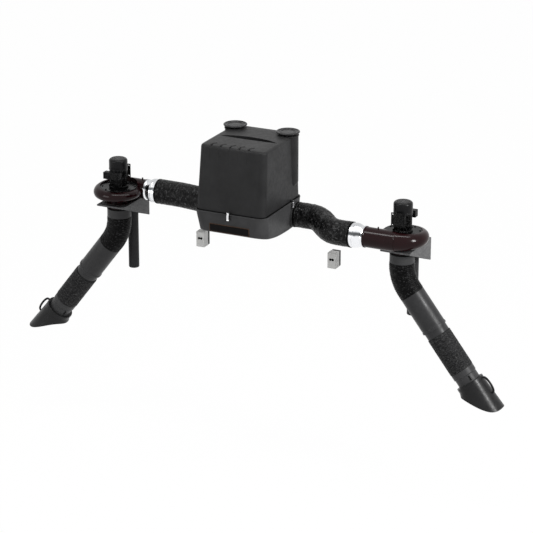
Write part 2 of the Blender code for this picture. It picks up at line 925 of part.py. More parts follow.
def build_lid(latch_frames):
    lid = loft("lid", lid_rings(), moulded_black)
    for _, sign in SIDES:
        fuse(lid, turned("column", column_profile(), None, None, (sign * column_x, column_y, 0)))
    for frame in latch_frames:
        low = lid_bottom_z() + seat_gap - latch_pivot_z
        face = latch_sheet / 2 + slide_gap
        size = (latch_width, latch_keeper_root - face, latch_keeper_height)
        place = (0, (latch_keeper_root + face) / 2, low + latch_keeper_height / 2)
        fuse(lid, box("latch_keeper", size, None, frame, place))
    cut(lid, loft("lid_cavity", lid_cavity_rings()))
    bore_low = column_low_z + column_wall
    bore_length = lid_top_z + column_stand + cut_overrun - bore_low
    for _, sign in SIDES:
        place = (sign * column_x, column_y, bore_low + bore_length / 2)
        cut(lid, cylinder("column_bore", column_bore_r(), bore_length, None, None, place),
            solver="MANIFOLD")
    pocket_low = lid_top_z - recess_depth
    block_low = pocket_low - lid_wall
    block_high = lid_top_z - lid_wall / 2
    fuse(lid, plate("recess_block", [recess_outline(recess_wall)], block_high - block_low, None, None,
                    (0, 0, (block_high + block_low) / 2)))
    pocket_high = lid_top_z + lid_crown + cut_overrun
    cut(lid, plate("recess_pocket", [recess_outline(0)], pocket_high - pocket_low, None, None,
                   (0, 0, (pocket_high + pocket_low) / 2)))
    for i in range(flute_count):
        x = flute_middle_x + (i - (flute_count - 1) / 2) * flute_spacing
        points = flute_path(x)
        cut(lid, tube("flute", points, [flute_r] * len(points), bevel_steps=1))
    return lid


def build_seal():
    low = ring_outline(*lid_ring(lid_bottom_z(), -seal_lap))
    inner = ring_outline(*lid_ring(lid_bottom_z(), seal_width))
    z = tub_rim_z + seat_gap + seal_thickness / 2
    plate("lid_seal", [low, inner], seal_thickness, rubber, None, (0, 0, z))


def star_outline(radius, width, count):
    """Ribs that meet in the middle, as one outline."""
    outline = []
    notch = width / 2 / math.sin(math.pi / count)
    for i in range(count):
        turn = math.tau * i / count
        for side in (-1, 1):
            corner = turn + side * math.atan2(width / 2, radius)
            outline.append((math.hypot(radius, width / 2) * math.cos(corner),
                            math.hypot(radius, width / 2) * math.sin(corner)))
        between = turn + math.pi / count
        outline.append((notch * math.cos(between), notch * math.sin(between)))
    return outline


def build_cap(name, sign):
    """A disc on ribs, over a ring that plugs into the column."""
    place = (sign * column_x, column_y, lid_top_z + column_stand)
    ring_r = column_bore_r() - slide_gap
    low = cap_lift
    high = low + cap_thickness
    disc = [
        (0, low), (cap_r - cap_dome, low), (cap_r, low + cap_dome), (cap_r, high - cap_dome),
        (cap_r - cap_dome, high),
        (cap_hollow_r, high), (cap_hollow_r - cap_dome, high - cap_hollow_depth), (0, high - cap_dome / 2),
    ]
    cap = turned("outlet_cap_" + name, disc, moulded_black, None, place)
    rib_height = low + cap_dome / 2 - seat_gap
    star = star_outline(column_rim_r - cap_rib_thickness, cap_rib_thickness, cap_rib_count)
    fuse(cap, plate("cap_ribs", [star], rib_height, None, cap, (0, 0, seat_gap + rib_height / 2)))
    ring_top = seat_gap + cap_ring_wall
    plug = [
        (ring_r - cap_ring_wall, -cap_ring_depth), (ring_r, -cap_ring_depth), (ring_r, ring_top),
        (ring_r - cap_ring_wall, ring_top),
    ]
    fuse(cap, turned("cap_plug", plug, None, cap))


def build_latch(name, frame):
    """A bent strap that turns on a pin, with its loose end lifted for a finger."""
    half = latch_sheet / 2
    strap = [
        (half, 0), (half, latch_rise), (-latch_lift + half, latch_rise + latch_lift),
        (-latch_lift - half, latch_rise + latch_lift - half), (-half, latch_rise - half), (-half, 0),
    ]
    turn = (math.pi / 2, 0, math.pi / 2)
    latch = plate(name, [strap], latch_width, bright_metal, frame, rotation=turn)
    fuse(latch, cylinder("latch_eye", latch_eye_r, latch_width, None, frame, rotation=(0, math.pi / 2, 0),
                         steps=small_round_steps))
    length = latch_width + 2 * (latch_ear_thickness + slide_gap)
    fuse(latch, cylinder("latch_pin", latch_pin_r, length, None, frame, rotation=(0, math.pi / 2, 0),
                         steps=hole_steps))


def pleated_pack(pack, core_share):
    """The pleats' outline drawn up into a wall round a hollow with flat sides."""
    def build(bm):
        loops = []
        for z in (-(cartridge_height - cartridge_end) / 2, (cartridge_height - cartridge_end) / 2):
            outer = [bm.verts.new((x, y, z)) for x, y in pack]
            inner = [bm.verts.new((x * core_share, math.copysign(cartridge_core_depth / 2, y), z)) for x,
                     y in pack]
            loops.append((outer, inner))
        (low_outer, low_inner), (high_outer, high_inner) = loops
        for i in range(len(pack)):
            j = (i + 1) % len(pack)
            bm.faces.new((low_outer[i], low_outer[j], high_outer[j], high_outer[i]))
            bm.faces.new((high_inner[i], high_inner[j], low_inner[j], low_inner[i]))
            bm.faces.new((high_outer[i], high_outer[j], high_inner[j], high_inner[i]))
            bm.faces.new((low_inner[i], low_inner[j], low_outer[j], low_outer[i]))

    return mesh_from("filter_cartridge", build)


def build_filter():
    tray_z = tub_rim_z + seat_gap
    tray = ring_outline(lid_half_width - tray_margin, lid_front_y + tray_margin, lid_back_y - tray_margin,
                        lid_corner_r - tray_margin, lid_corner_r - tray_margin)
    opening = rectangle(tray_opening_width, tray_opening_depth, (0, filter_centre_y))
    plate("filter_tray", [tray, opening], tray_thickness, painted_steel, None,
          (0, 0, tray_z + tray_thickness / 2))
    pre_z = tray_z + tray_thickness + seat_gap
    place = (0, filter_centre_y, pre_z + prefilter_thickness / 2)
    pre = box("prefilter", (prefilter_width, prefilter_depth, prefilter_thickness), bare_steel, None, place)
    field = (prefilter_width - 2 * prefilter_border, prefilter_depth - 2 * prefilter_border,
             prefilter_pocket + cut_overrun)
    for sz in (-1, 1):
        z = sz * (prefilter_thickness + cut_overrun - prefilter_pocket) / 2
        cut(pre, box("prefilter_pocket", field, None, pre, (0, 0, z)))
    cart_z = pre_z + prefilter_thickness + seat_gap
    half_w = cartridge_width / 2 - pleat_inset
    half_d = cartridge_depth / 2 - pleat_inset
    pack = []
    for side in (-1, 1):
        for i in range(2 * pleat_count + 1):
            share = i / (2 * pleat_count)
            depth = half_d - (pleat_depth if i % 2 else 0)
            pack.append((side * half_w * (2 * share - 1) * -1, side * depth))
    place = (0, filter_centre_y, cart_z + cartridge_height / 2)
    mesh = pleated_pack(pack, cartridge_core_width / 2 / half_w)
    cartridge = add_object("filter_cartridge", mesh, filter_paper, None, place, (0, 0, 0))
    frame = rectangle(cartridge_width, cartridge_depth)
    end_z = (cartridge_height - cartridge_end) / 2
    inlet = rectangle(cartridge_core_width - cartridge_end, cartridge_core_depth - cartridge_end)
    base = plate("cartridge_base", [frame, inlet], cartridge_end, None, cartridge, (0, 0, -end_z))
    top = plate("cartridge_top", [frame], cartridge_end, None, cartridge, (0, 0, end_z))
    fuse(cartridge, base, top, solver="MANIFOLD")


def build_bracket(name, arm_x):
    reach = bracket_reach
    low = deck_top_z - bracket_drop
    sheet = bracket_sheet
    fold = [
        (0, low), (0, deck_top_z), (-reach, deck_top_z), (-reach, deck_top_z - bracket_lip),
        (-reach + sheet, deck_top_z - bracket_lip), (-reach + sheet, deck_top_z - sheet),
        (-sheet, deck_top_z - sheet), (-sheet, low),
    ]
    turn = (math.pi / 2, 0, math.pi / 2)
    bracket = plate("arm_bracket_" + name, [fold], bracket_width - gusset_thickness, painted_steel, None,
                    (arm_x, 0, 0), turn)
    gusset = [
        (-weld_step, low + weld_step), (-weld_step, deck_top_z - weld_step),
        (-reach + weld_step, deck_top_z - weld_step),
        (-reach + weld_step, deck_top_z - bracket_lip + weld_step),
    ]
    for sx in (-1, 1):
        place = (arm_x + sx * (bracket_width - gusset_thickness) / 2, 0, 0)
        fuse(bracket, plate("gusset", [gusset], gusset_thickness, None, None, place, turn))
    cut(bracket, cylinder("neck_hole", bracket_hole_r, bracket_sheet + 2 * cut_overrun, None, None,
                          (arm_x, arm_axis_y, deck_top_z - sheet / 2)))
    for sx in (-1, 1):
        for drop in (bracket_bolt_top, bracket_bolt_low):
            place = (arm_x + sx * bracket_bolt_x, -sheet / 2, deck_top_z - drop)
            cut(bracket,
                cylinder("bracket_bolt_hole", bracket_bolt_r, sheet + 2 * cut_overrun, None, None, place,
                                  (math.pi / 2, 0, 0), hole_steps))


def build_post(name, arm_x):
    top = deck_top_z - bracket_sheet - seat_gap
    inner = post_r - post_wall
    profile = [
        (0, post_bottom_z), (post_r - post_edge_r, post_bottom_z), (post_r, post_bottom_z + post_edge_r),
        (post_r, top), (inner, top), (inner, post_bottom_z + post_edge_r), (0, post_bottom_z + post_edge_r),
    ]
    turned("support_post_" + name, profile, painted_steel, None, (arm_x, post_y, 0),
           steps=medium_round_steps)


def volute_path(shrink):
    """The volute's centre line and section radii, clockwise from above in the frame of the fan."""
    points = []
    radii = []
    for step in range(volute_steps + 1):
        share = step / volute_steps
        section = volute_start_r + (volute_end_r - volute_start_r) * share * share
        reach = volute_start_reach + (outlet_offset + volute_end_r - volute_start_reach) * share
        angle = math.radians(volute_start_angle - 180 - volute_sweep * share)
        radius = reach - section
        points.append((radius * math.cos(angle), radius * math.sin(angle), 0))
        radii.append(section - shrink)
    return points, radii


def drum_well(name, radius, low, fan):
    """A tall cylinder over the drum, which keeps the volute clear of what stands there."""
    return cylinder(name, radius, outlet_r, None, fan, (0, 0, low + outlet_r / 2))


def build_fan_housing(name, fan, outlet_reach):
    """A drum with a volute round it, a tangential outlet towards local -X and an inlet neck below."""
    drum = [
        (0, -drum_half_height), (drum_r, -drum_half_height), (drum_r, drum_half_height),
        (0, drum_half_height),
    ]
    housing = turned("fan_housing_" + name, drum, cast_maroon, fan)
    points, radii = volute_path(0)
    volute = smooth(tube("volute", points, radii, None, fan, bevel_steps=volute_bevel_steps))
    along_x = (0, -math.pi / 2, 0)
    length = outlet_reach + outlet_overlap
    bead = length - outlet_bead_width
    outlet = [
        (0, 0), (outlet_r, 0), (outlet_r, bead), (outlet_bead_r, bead), (outlet_bead_r, length),
        (0, length),
    ]
    fuse(volute, turned("outlet", outlet, None, fan, (outlet_overlap, -outlet_offset, 0), along_x))
    well = drum_well("motor_well", motor_plate_r + fan_wall, drum_half_height - weld_step, fan)
    cut(volute, well, solver="MANIFOLD")
    foot_z = deck_top_z + seat_gap
    foot_top = foot_z + fan_foot_thickness
    flange_top = swivel_flange_z + swivel_flange_thickness
    neck_top = -drum_half_height + fan_wall / 2
    neck = [
        (0, neck_top), (fan_neck_r, neck_top), (fan_neck_r, foot_top), (fan_foot_r, foot_top),
        (fan_foot_r, foot_z), (fan_neck_r, foot_z), (fan_neck_r, flange_top), (swivel_flange_r, flange_top),
        (swivel_flange_r, swivel_flange_z), (0, swivel_flange_z),
    ]
    fuse(housing, volute, turned("inlet_neck", neck, None, fan), solver="MANIFOLD")
    points, radii = volute_path(fan_wall)
    cavity = tube("volute_cavity", points, radii, None, fan, bevel_steps=volute_bevel_steps)
    cavity_start = outlet_overlap / 2
    cavity_length = length + cut_overrun - cavity_start
    fuse(cavity, cylinder("outlet_bore", outlet_r - fan_wall, cavity_length, None, fan,
                          (cavity_start - cavity_length / 2, -outlet_offset, 0), along_x))
    cut(cavity,
        drum_well("well_skin", motor_plate_r + 2 * fan_wall, drum_half_height - fan_wall - weld_step, fan))
    cut(cavity, cylinder("neck_skin", fan_neck_r, outlet_r, None, fan,
                         (0, 0, -drum_half_height + fan_wall + weld_step - outlet_r / 2)))
    drum_cavity = cylinder("drum_cavity", drum_r - fan_wall, 2 * (drum_half_height - fan_wall), None, fan)
    eye_top = -drum_half_height + 2 * fan_wall
    eye_low = swivel_flange_z - cut_overrun
    eye = cylinder("inlet_eye", fan_inlet_r, eye_top - eye_low, None, fan, (0, 0, (eye_top + eye_low) / 2))
    opening = cylinder("top_opening", fan_top_opening_r, 2 * fan_wall, None, fan, (0, 0, drum_half_height))
    cut(housing, cavity, drum_cavity, eye, opening, solver="MANIFOLD")
    port_z = math.sqrt(outlet_r ** 2 - port_r ** 2) - fan_wall / 2
    port = cylinder("pressure_port", port_r, port_height, None, fan,
                    (port_x, -outlet_offset, port_z + port_height / 2), steps=hole_steps)
    fuse(housing, port, solver="MANIFOLD")


def motor_base_z():
    return drum_half_height + seat_gap + motor_plate_thickness + seat_gap


def build_motor_plate(name, fan):
    z = drum_half_height + seat_gap + motor_plate_thickness / 2
    hole = circle(running_r(shaft_r, small_round_steps), steps=small_round_steps)
    plate("motor_plate_" + name, [circle(motor_plate_r), hole], motor_plate_thickness, black_steel, fan,
          (0, 0, z))


def blade_outline(turn):
    """One backward-curved blade in plan, from the inner radius out to the rim."""
    centre_line = []
    for step in range(blade_steps + 1):
        share = step / blade_steps
        radius = blade_inner_r + (impeller_r - blade_thickness - blade_inner_r) * share
        angle = turn - math.radians(blade_lag) * share ** 1.4
        centre_line.append((radius, angle))
    outline = []
    for sign in (1, -1):
        stations = centre_line if sign > 0 else centre_line[::-1]
        for radius, angle in stations:
            offset = sign * blade_thickness / 2 / radius
            outline.append((radius * math.cos(angle + offset), radius * math.sin(angle + offset)))
    return outline[::-1]


def build_impeller(name, fan):
    plate_top = drum_half_height - fan_wall - impeller_top_clearance
    plate_low = plate_top - impeller_backplate
    shaft_top = motor_base_z() + shaft_into_motor
    profile = [
        (0, plate_top - hub_height), (hub_r, plate_top - hub_height), (hub_r, plate_low),
        (impeller_r, plate_low),
        (impeller_r, plate_top), (shaft_r, plate_top), (shaft_r, shaft_top), (0, shaft_top),
    ]
    impeller = turned("impeller_" + name, profile, bare_steel, fan, steps=medium_round_steps)
    blades = plate("blades", [blade_outline(math.tau * i / blade_count) for i in range(blade_count)],
                   blade_height, None, fan, (0, 0, plate_low + impeller_backplate / 2 - blade_height / 2))
    fuse(impeller, blades)


def build_motor(name, fan):
    """A finned motor body with a flange below, a foot in front and a pad for the terminal box behind."""
    low = motor_base_z()
    outline = []
    for i in range(motor_fin_count):
        for offset, radius in ((0, motor_r), (motor_fin_share, motor_r), (motor_fin_share, motor_fin_r),
                               (1, motor_fin_r)):
            angle = math.tau * (i + offset) / motor_fin_count
            outline.append((radius * math.cos(angle), radius * math.sin(angle)))
    motor = plate("motor_" + name, [outline], motor_height, black_steel, fan,
                  (0, 0, low + motor_height / 2))
    flange = cylinder("motor_flange", motor_flange_r, motor_flange_thickness, None, fan,
                      (0, 0, low + motor_flange_thickness / 2), steps=medium_round_steps)
    foot = box("motor_foot", (foot_width, foot_thickness, foot_height), None, fan,
               (0, foot_y, foot_low_z + foot_height / 2))
    fuse(motor, flange)
    for sx in (-1, 1):
        web_depth = -foot_y - motor_r / 2
        place = (sx * foot_web_x, -motor_r / 2 - web_depth / 2,
                 foot_low_z + foot_web_height / 2 + foot_thickness)
        fuse(motor, box("foot_web", (foot_web_thickness, web_depth, foot_web_height), None, fan, place))
    fuse(motor, foot)
    pad_depth = terminal_pad_y - motor_r / 2
    fuse(motor, box("terminal_pad", (terminal_pad_width, pad_depth, terminal_pad_height), None, fan,
                    (0, terminal_pad_y - pad_depth / 2, terminal_low_z + terminal_height / 2)))
    for sx in (-1, 1):
        for z in (foot_low_z + foot_hole_inset, foot_low_z + foot_height - foot_hole_inset):
            place = (sx * (foot_width / 2 - foot_hole_inset), foot_y, z)
            cut(motor,
                cylinder("foot_hole", foot_hole_r, foot_thickness + 2 * cut_overrun, None, fan, place,
                                (math.pi / 2, 0, 0), hole_steps))
    bore = shaft_into_motor + seat_gap
    cut(motor, cylinder("shaft_bore", running_r(shaft_r, small_round_steps), bore + cut_overrun, None, fan,
                        (0, 0, low + (bore - cut_overrun) / 2), steps=small_round_steps))


def build_cowl(name, fan):
    """A sheet cowl that sits on the motor by an inner rim, with a rounded shoulder and air holes on top."""
    low = motor_base_z() + motor_height + seat_gap
    high = low + cowl_height
    outer = [(motor_r, low), (cowl_r, low)]
    inner = [(motor_r, low + cowl_sheet), (cowl_r - cowl_sheet, low + cowl_sheet)]
    for step in range(cowl_edge_steps + 1):
        angle = math.pi / 2 * step / cowl_edge_steps
        x = cowl_r - cowl_edge_r * (1 - math.cos(angle))
        z = high - cowl_edge_r * (1 - math.sin(angle))
        outer.append((x, z))
        inner.append((x - cowl_sheet * math.cos(angle), z - cowl_sheet * math.sin(angle)))
    profile = outer + [(0, high), (0, high - cowl_sheet)] + inner[::-1]
    cowl = turned("motor_cowl_" + name, profile, black_steel, fan, steps=medium_round_steps)
    for i in range(cowl_slot_count):
        angle = math.tau * (i + 0.5) / cowl_slot_count
        place = (cowl_slot_ring_r * math.cos(angle), cowl_slot_ring_r * math.sin(angle), high)
        cut(cowl, cylinder("cowl_hole", cowl_slot_r, cowl_edge_r, None, fan, place, steps=hole_steps))


def build_terminal_box(name, fan):
    place = (0, terminal_pad_y + seat_gap + terminal_depth / 2, terminal_low_z + terminal_height / 2)
    terminal = box("terminal_box_" + name, (terminal_width, terminal_depth, terminal_height), black_steel,
                   fan,
                   place)
    round_edges(terminal, terminal_edge_r, 1)


def build_reducer(name, fan, outlet_reach):
    """Bright spun reducer: collar at the fan, cone, cylinder, and a spigot inside the hose."""
    wall = reducer_wall
    outer = [
        (reducer_collar_r, 0), (reducer_collar_r, reducer_collar_width),
        (reducer_small_r, reducer_cone_start),
        (reducer_large_r, reducer_cone_end), (reducer_large_r, reducer_length), (spigot_r, reducer_length),
        (spigot_r, reducer_length + seat_gap + spigot_length),
    ]
    inner = [
        (spigot_r - wall, reducer_length + seat_gap + spigot_length),
        (spigot_r - wall, reducer_length - wall),
        (reducer_large_r - wall, reducer_length - wall), (reducer_large_r - wall, reducer_cone_end),
        (reducer_small_r - wall, reducer_cone_start), (reducer_small_r - wall, 0),
    ]
    turned("outlet_reducer_" + name, outer + inner, bright_metal, fan,
           (-outlet_reach - seat_gap, -outlet_offset, 0),
           (0, -math.pi / 2, 0))


def lay_hose(name, path, length, straight, parent=None):
    """A ribbed hose with its bore, along a path that gives a point for a distance."""
    ribs = max(2, round(length / hose_rib_pitch))
    pitch = length / ribs
    stations = [0.0]
    radii = [hose_valley_r]
    for i in range(ribs):
        stations.append((i + hose_crest_share) * pitch)
        radii.append(hose_crest_r)
        stations.append((i + hose_valley_share) * pitch)
        radii.append(hose_valley_r)
    stations.append(length)
    radii.append(hose_valley_r)
    hose = smooth(tube(name, [path(s) for s in stations], radii, hose_black, parent,
                       bevel_steps=hose_bevel_steps))
    inner = [-cut_overrun, length + cut_overrun]
    if not straight:
        start = spigot_length + seat_gap
        inner[1:1] = [start + (length - 2 * start) * i / (ribs - 1) for i in range(ribs)]
    cut(hose, tube("hose_bore", [path(s) for s in inner], [hose_bore_r] * len(inner), None, parent,
                   bevel_steps=hose_bevel_steps))


def s_bend(start, end, easing_share):
    """A route between two points, straight along X at both ends, sampled by distance."""
    samples = []
    fine_steps = 240
    for i in range(fine_steps + 1):
        share = i / fine_steps
        t = min(max((share - easing_share) / (1 - 2 * easing_share), 0), 1)
        ease = t * t * t * (t * (6 * t - 15) + 10)
        samples.append(Vector((start[0] + (end[0] - start[0]) * share,
                               start[1] + (end[1] - start[1]) * ease, 0)))
    lengths = [0.0]
    for a, b in zip(samples, samples[1:]):
        lengths.append(lengths[-1] + (b - a).length)

    def path(distance):
        if distance <= 0:
            return samples[0] + (samples[0] - samples[1]).normalized() * -distance
        if distance >= lengths[-1]:
            return samples[-1] + (samples[-1] - samples[-2]).normalized() * (distance - lengths[-1])
        i = next(k for k in range(1, len(lengths)) if lengths[k] >= distance)
        share = (distance - lengths[i - 1]) / (lengths[i] - lengths[i - 1])
        return samples[i - 1].lerp(samples[i], share)
    return path, lengths[-1]


def build_duct(name, sign, arm_x, outlet_reach):
    start_x = sign * (pad_face_x() + seat_gap + inlet_flange_thickness + seat_gap)
    end_x = arm_x - sign * (outlet_reach + seat_gap + reducer_length + seat_gap)
    end_y = arm_axis_y - sign * outlet_offset
    path, length = s_bend((start_x, inlet_y), (end_x, end_y), duct_straight_share)
    lay_hose("duct_hose_" + name, path, length, False)


def hanger_outline(half_bar, bar_low, bar_high, pivot, half_stem):
    """A T with its bar across a tube and a round eye at the pivot, with the stem between them."""
    toward = 1 if bar_low > pivot else -1
    near = bar_low if toward > 0 else bar_high
    far = bar_high if toward > 0 else bar_low
    eye = []
    for step in range(small_round_steps // 2 + 1):
        angle = math.tau * step / small_round_steps
        eye.append((-half_stem * math.cos(angle), pivot - toward * half_stem * math.sin(angle)))
    return [(half_stem, near), (half_bar, near), (half_bar, far), (-half_bar, far), (-half_bar, near),
            (-half_stem, near)] + eye


def build_swivel_collar(name, swivel):
    """A turning collar hung on the fan's neck flange, with the hanger for the elbow."""
    lip_low = swivel_flange_z + swivel_flange_thickness + seat_gap
    lip_r = running_r(fan_neck_r, round_steps)
    inside = collar_r - collar_wall
    spigot_end = collar_bottom_z - seat_gap - spigot_length
    profile = [
        (collar_r, collar_top_z), (collar_r, collar_bottom_z), (spigot_r, collar_bottom_z),
        (spigot_r, spigot_end),
        (spigot_r - spigot_wall, spigot_end), (spigot_r - spigot_wall, collar_bottom_z + collar_wall),
        (inside, collar_bottom_z + collar_wall), (inside, lip_low), (lip_r, lip_low), (lip_r, collar_top_z),
    ]
    collar = turned("swivel_collar_" + name, profile, tube_grey, swivel)
    bar_high = collar_bottom_z - weld_step
    half_bar = spigot_r - spigot_wall / 2
    outline = hanger_outline(half_bar, bar_high - hanger_bar_height, bar_high, elbow_z, hanger_width / 2)
    hole = circle(running_r(elbow_pin_r, small_round_steps), (0, elbow_z), small_round_steps)
    hanger = plate("hanger", [outline, hole], hanger_thickness, None, swivel, rotation=(math.pi / 2, 0, 0))
    fuse(collar, hanger, solver="MANIFOLD")


def fork_y():
    return hanger_thickness / 2 + slide_gap + fork_thickness / 2


def build_elbow_pin(name, swivel):
    half = fork_y() + fork_thickness / 2 + slide_gap
    head = half + elbow_head_thickness
    profile = [
        (0, -head), (elbow_head_r, -head), (elbow_head_r, -half), (elbow_pin_r, -half), (elbow_pin_r, half),
        (elbow_head_r, half), (elbow_head_r, head), (0, head),
    ]
    turned("elbow_pin_" + name, profile, bare_steel, swivel, (0, 0, elbow_z), (math.pi / 2, 0, 0),
           small_round_steps)


def elbow_path():
    """Down from the collar, round the elbow and along the arm, as a point for a distance."""
    bend = math.radians(elbow_angle)
    start_z = collar_bottom_z - seat_gap
    tangent = start_z - elbow_straight - elbow_z
    radius = tangent / math.tan(bend / 2)
    arc = radius * bend
    straight_end = tube_top_s - seat_gap - tangent

    def path(distance):
        if distance < elbow_straight:
            return Vector((0, 0, start_z - distance))
        if distance < elbow_straight + arc:
            angle = (distance - elbow_straight) / radius
            return Vector((radius * (1 - math.cos(angle)), 0,
                           start_z - elbow_straight - radius * math.sin(angle)))
        along = distance - elbow_straight - arc + tangent
        return Vector((along * math.sin(bend), 0, elbow_z - along * math.cos(bend)))
    return path, elbow_straight + arc + straight_end


def build_outer_tube(name, elbow):
    """The arm tube: spigot, tube, lip, reduced cuff and lower spigot, with fork and guide sleeve inside."""
    spigot_in = spigot_r - spigot_wall
    top = -(tube_top_s - spigot_length - seat_gap)
    low = -(cuff_end_s + spigot_length + seat_gap)
    tube_in = tube_r - tube_wall
    profile = [
        (spigot_r, top), (spigot_r, -tube_top_s), (tube_r, -tube_top_s), (tube_r, -tube_lip_s),
        (tube_lip_r, -tube_lip_s), (tube_lip_r, -tube_end_s), (cuff_r, -tube_end_s), (cuff_r, -cuff_end_s),
        (spigot_r, -cuff_end_s), (spigot_r, low), (spigot_in, low), (spigot_in, -tube_end_s + tube_wall),
        (tube_in, -tube_end_s + tube_wall), (tube_in, -tube_top_s - tube_wall),
        (spigot_in, -tube_top_s - tube_wall),
        (spigot_in, top),
    ]
    arm = turned("outer_tube_" + name, profile, tube_grey, elbow)
    bar_high = -tube_top_s - tube_wall / 2
    outline = hanger_outline(tube_r - tube_wall / 2, bar_high - hanger_bar_height, bar_high, 0,
                             hanger_width / 2)
    for sy in (-1, 1):
        hole = circle(running_r(elbow_pin_r, small_round_steps), steps=small_round_steps)
        fuse(arm, plate("fork", [outline, hole], fork_thickness, None, elbow, (0, sy * fork_y(), 0),
                        (math.pi / 2, 0, 0)))
    sleeve_length = sleeve_end_s - sleeve_top_s
    place = (0, 0, -(sleeve_end_s + sleeve_top_s) / 2)
    fuse(arm, cylinder("sleeve", sleeve_r, sleeve_length, None, elbow, place, steps=small_round_steps))
    bore_top = tube_top_s - spigot_length
    bore_place = (0, 0, -(sleeve_end_s + cut_overrun + bore_top) / 2)
    cut(arm,
        cylinder("sleeve_bore", sleeve_r - sleeve_wall, sleeve_end_s + cut_overrun - bore_top, None, elbow,
                      bore_place, steps=small_round_steps))


def rod_r():
    return sleeve_r - sleeve_wall - slide_gap


def rod_end_s():
    return neck_top_s + rod_boss_height / 2 - rod_boss_web - seat_gap


def build_telescope_rod(name, elbow):
    inner = rod_r() - rod_wall
    profile = [(rod_r(), -rod_top_s), (rod_r(), -rod_end_s()), (inner, -rod_end_s()), (inner, -rod_top_s)]
    turned("telescope_rod_" + name, profile, bare_steel, elbow, steps=small_round_steps)


def build_lower_hose(name, elbow):
    start = cuff_end_s + seat_gap
    length = neck_top_s - seat_gap - start
    lay_hose("lower_hose_" + name, lambda distance: Vector((0, 0, -start - distance)), length, True, elbow)


def build_neck(name, elbow, neck_frame):
    """Cuff, taper and neck with the flange that the hood turns on, and the boss that holds the rod."""
    inner = spigot_r - spigot_wall
    top = -(neck_top_s - seat_gap - spigot_length)
    taper_end = -neck_cuff_end_s - neck_taper
    low = -(neck_flange_s + neck_flange_thickness)
    profile = [
        (spigot_r, top), (spigot_r, -neck_top_s), (neck_cuff_r, -neck_top_s),
        (neck_cuff_r, -neck_cuff_end_s),
        (neck_r, taper_end), (neck_r, -neck_flange_s), (neck_flange_r, -neck_flange_s),
        (neck_flange_r, low),
        (inner, low), (inner, top),
    ]
    neck = turned("hood_neck_" + name, profile, hood_grey, elbow)
    bar_height = rod_boss_height / 2
    fuse(neck, box("neck_bar", (2 * (inner + spigot_wall / 2), fork_thickness, bar_height), None, elbow,
                   (0, 0, -neck_top_s + bar_height / 2)))
    fuse(neck, cylinder("rod_boss", rod_boss_r, rod_boss_height, None, elbow, (0, 0, -neck_top_s),
                        steps=small_round_steps))
    hole_depth = rod_boss_height - rod_boss_web
    hole_place = (0, 0, -neck_top_s + rod_boss_height / 2 - hole_depth / 2 + cut_overrun / 2)
    cut(neck, cylinder("rod_hole", rod_r() + slide_gap, hole_depth + cut_overrun, None, elbow, hole_place,
                       steps=small_round_steps))
    cut(neck,
        cylinder("damper_shaft_hole", running_r(damper_shaft_r, hole_steps), 2 * (neck_r + cut_overrun),
                       None, neck_frame, rotation=(0, math.pi / 2, 0), steps=hole_steps))


def build_damper(name, neck_frame):
    """A round flap on a shaft through the neck, shown open, with a bent lever outside."""
    disc_r = spigot_r - spigot_wall - damper_clearance
    disc = cylinder("damper_" + name, disc_r, damper_disc_thickness, black_steel, neck_frame,
                    rotation=(math.pi / 2, 0, 0))
    shaft_end = neck_r + lever_stand + lever_sheet
    shaft_start = -(neck_r + damper_end)
    fuse(disc, cylinder("damper_shaft", damper_shaft_r, shaft_end - shaft_start, None, neck_frame,
                        ((shaft_end + shaft_start) / 2, 0, 0), (0, math.pi / 2, 0), hole_steps))
    x = neck_r + lever_stand
    bent = [
        (x, -lever_width / 2), (x, lever_length), (x + lever_tab, lever_length),
        (x + lever_tab, lever_length - lever_sheet), (x + lever_sheet, lever_length - lever_sheet),
        (x + lever_sheet, -lever_width / 2),
    ]
    fuse(disc, plate("damper_lever", [bent], lever_width, None, neck_frame, rotation=(math.pi / 2, 0, 0)))


def hood_ring(share, inset):
    """A ring of the hood's skin, at a share of the way from its rim to its oblique mouth."""
    start_s = hood_rim_s + hood_rim_width
    points = []
    for i in range(hood_round_steps):
        angle = math.tau * i / hood_round_steps
        turn = (1 + math.cos(angle)) / 2
        mouth_s = hood_inner_s + (hood_outer_s - hood_inner_s) * turn * turn * (3 - 2 * turn)
        reach_x = hood_shell_r + (hood_mouth_r - hood_shell_r) * share - inset
        reach_y = hood_shell_r + (hood_mouth_side_r - hood_shell_r) * share - inset
        s = start_s + (mouth_s - start_s) * share
        points.append((reach_x * math.cos(angle), reach_y * math.sin(angle), -s))
    return points


def level_ring(radius, s):
    return [(x, y, -s) for x, y in circle(radius, steps=hood_round_steps)]


def build_hood(name, elbow):
    """A flared hood cut obliquely, with a rim that hooks over the neck flange and a moulded handle."""
    lip_s = neck_flange_s - seat_gap
    lip_r = running_r(neck_r, hood_round_steps)
    shares = [step / hood_length_steps for step in range(hood_length_steps + 1)]
    rings = [level_ring(hood_rim_r, hood_rim_s), level_ring(hood_rim_r, hood_rim_s + hood_rim_width)]
    rings += [hood_ring(share, 0) for share in shares]
    rings += [hood_ring(share, hood_sheet) for share in shares[::-1]]
    rings += [level_ring(hood_shell_r - hood_sheet, lip_s), level_ring(lip_r, lip_s),
              level_ring(lip_r, hood_rim_s + hood_lip_chamfer)]
    hood = loft("hood_" + name, rings + rings[:1], hood_grey, elbow, closed=True)
    mid = (handle_top_s + handle_low_s) / 2
    half = (handle_low_s - handle_top_s) / 2
    points = []
    for step in range(handle_steps + 1):
        angle = math.pi * step / handle_steps
        rise = math.sqrt(math.sin(angle)) if 0 < step < handle_steps else 0
        points.append((hood_shell_r - handle_root + handle_stand * rise, 0,
                       -(mid - half * math.cos(angle))))
    fuse(hood, tube("hood_handle", points, [handle_r] * len(points), None, elbow, bevel_steps=1))


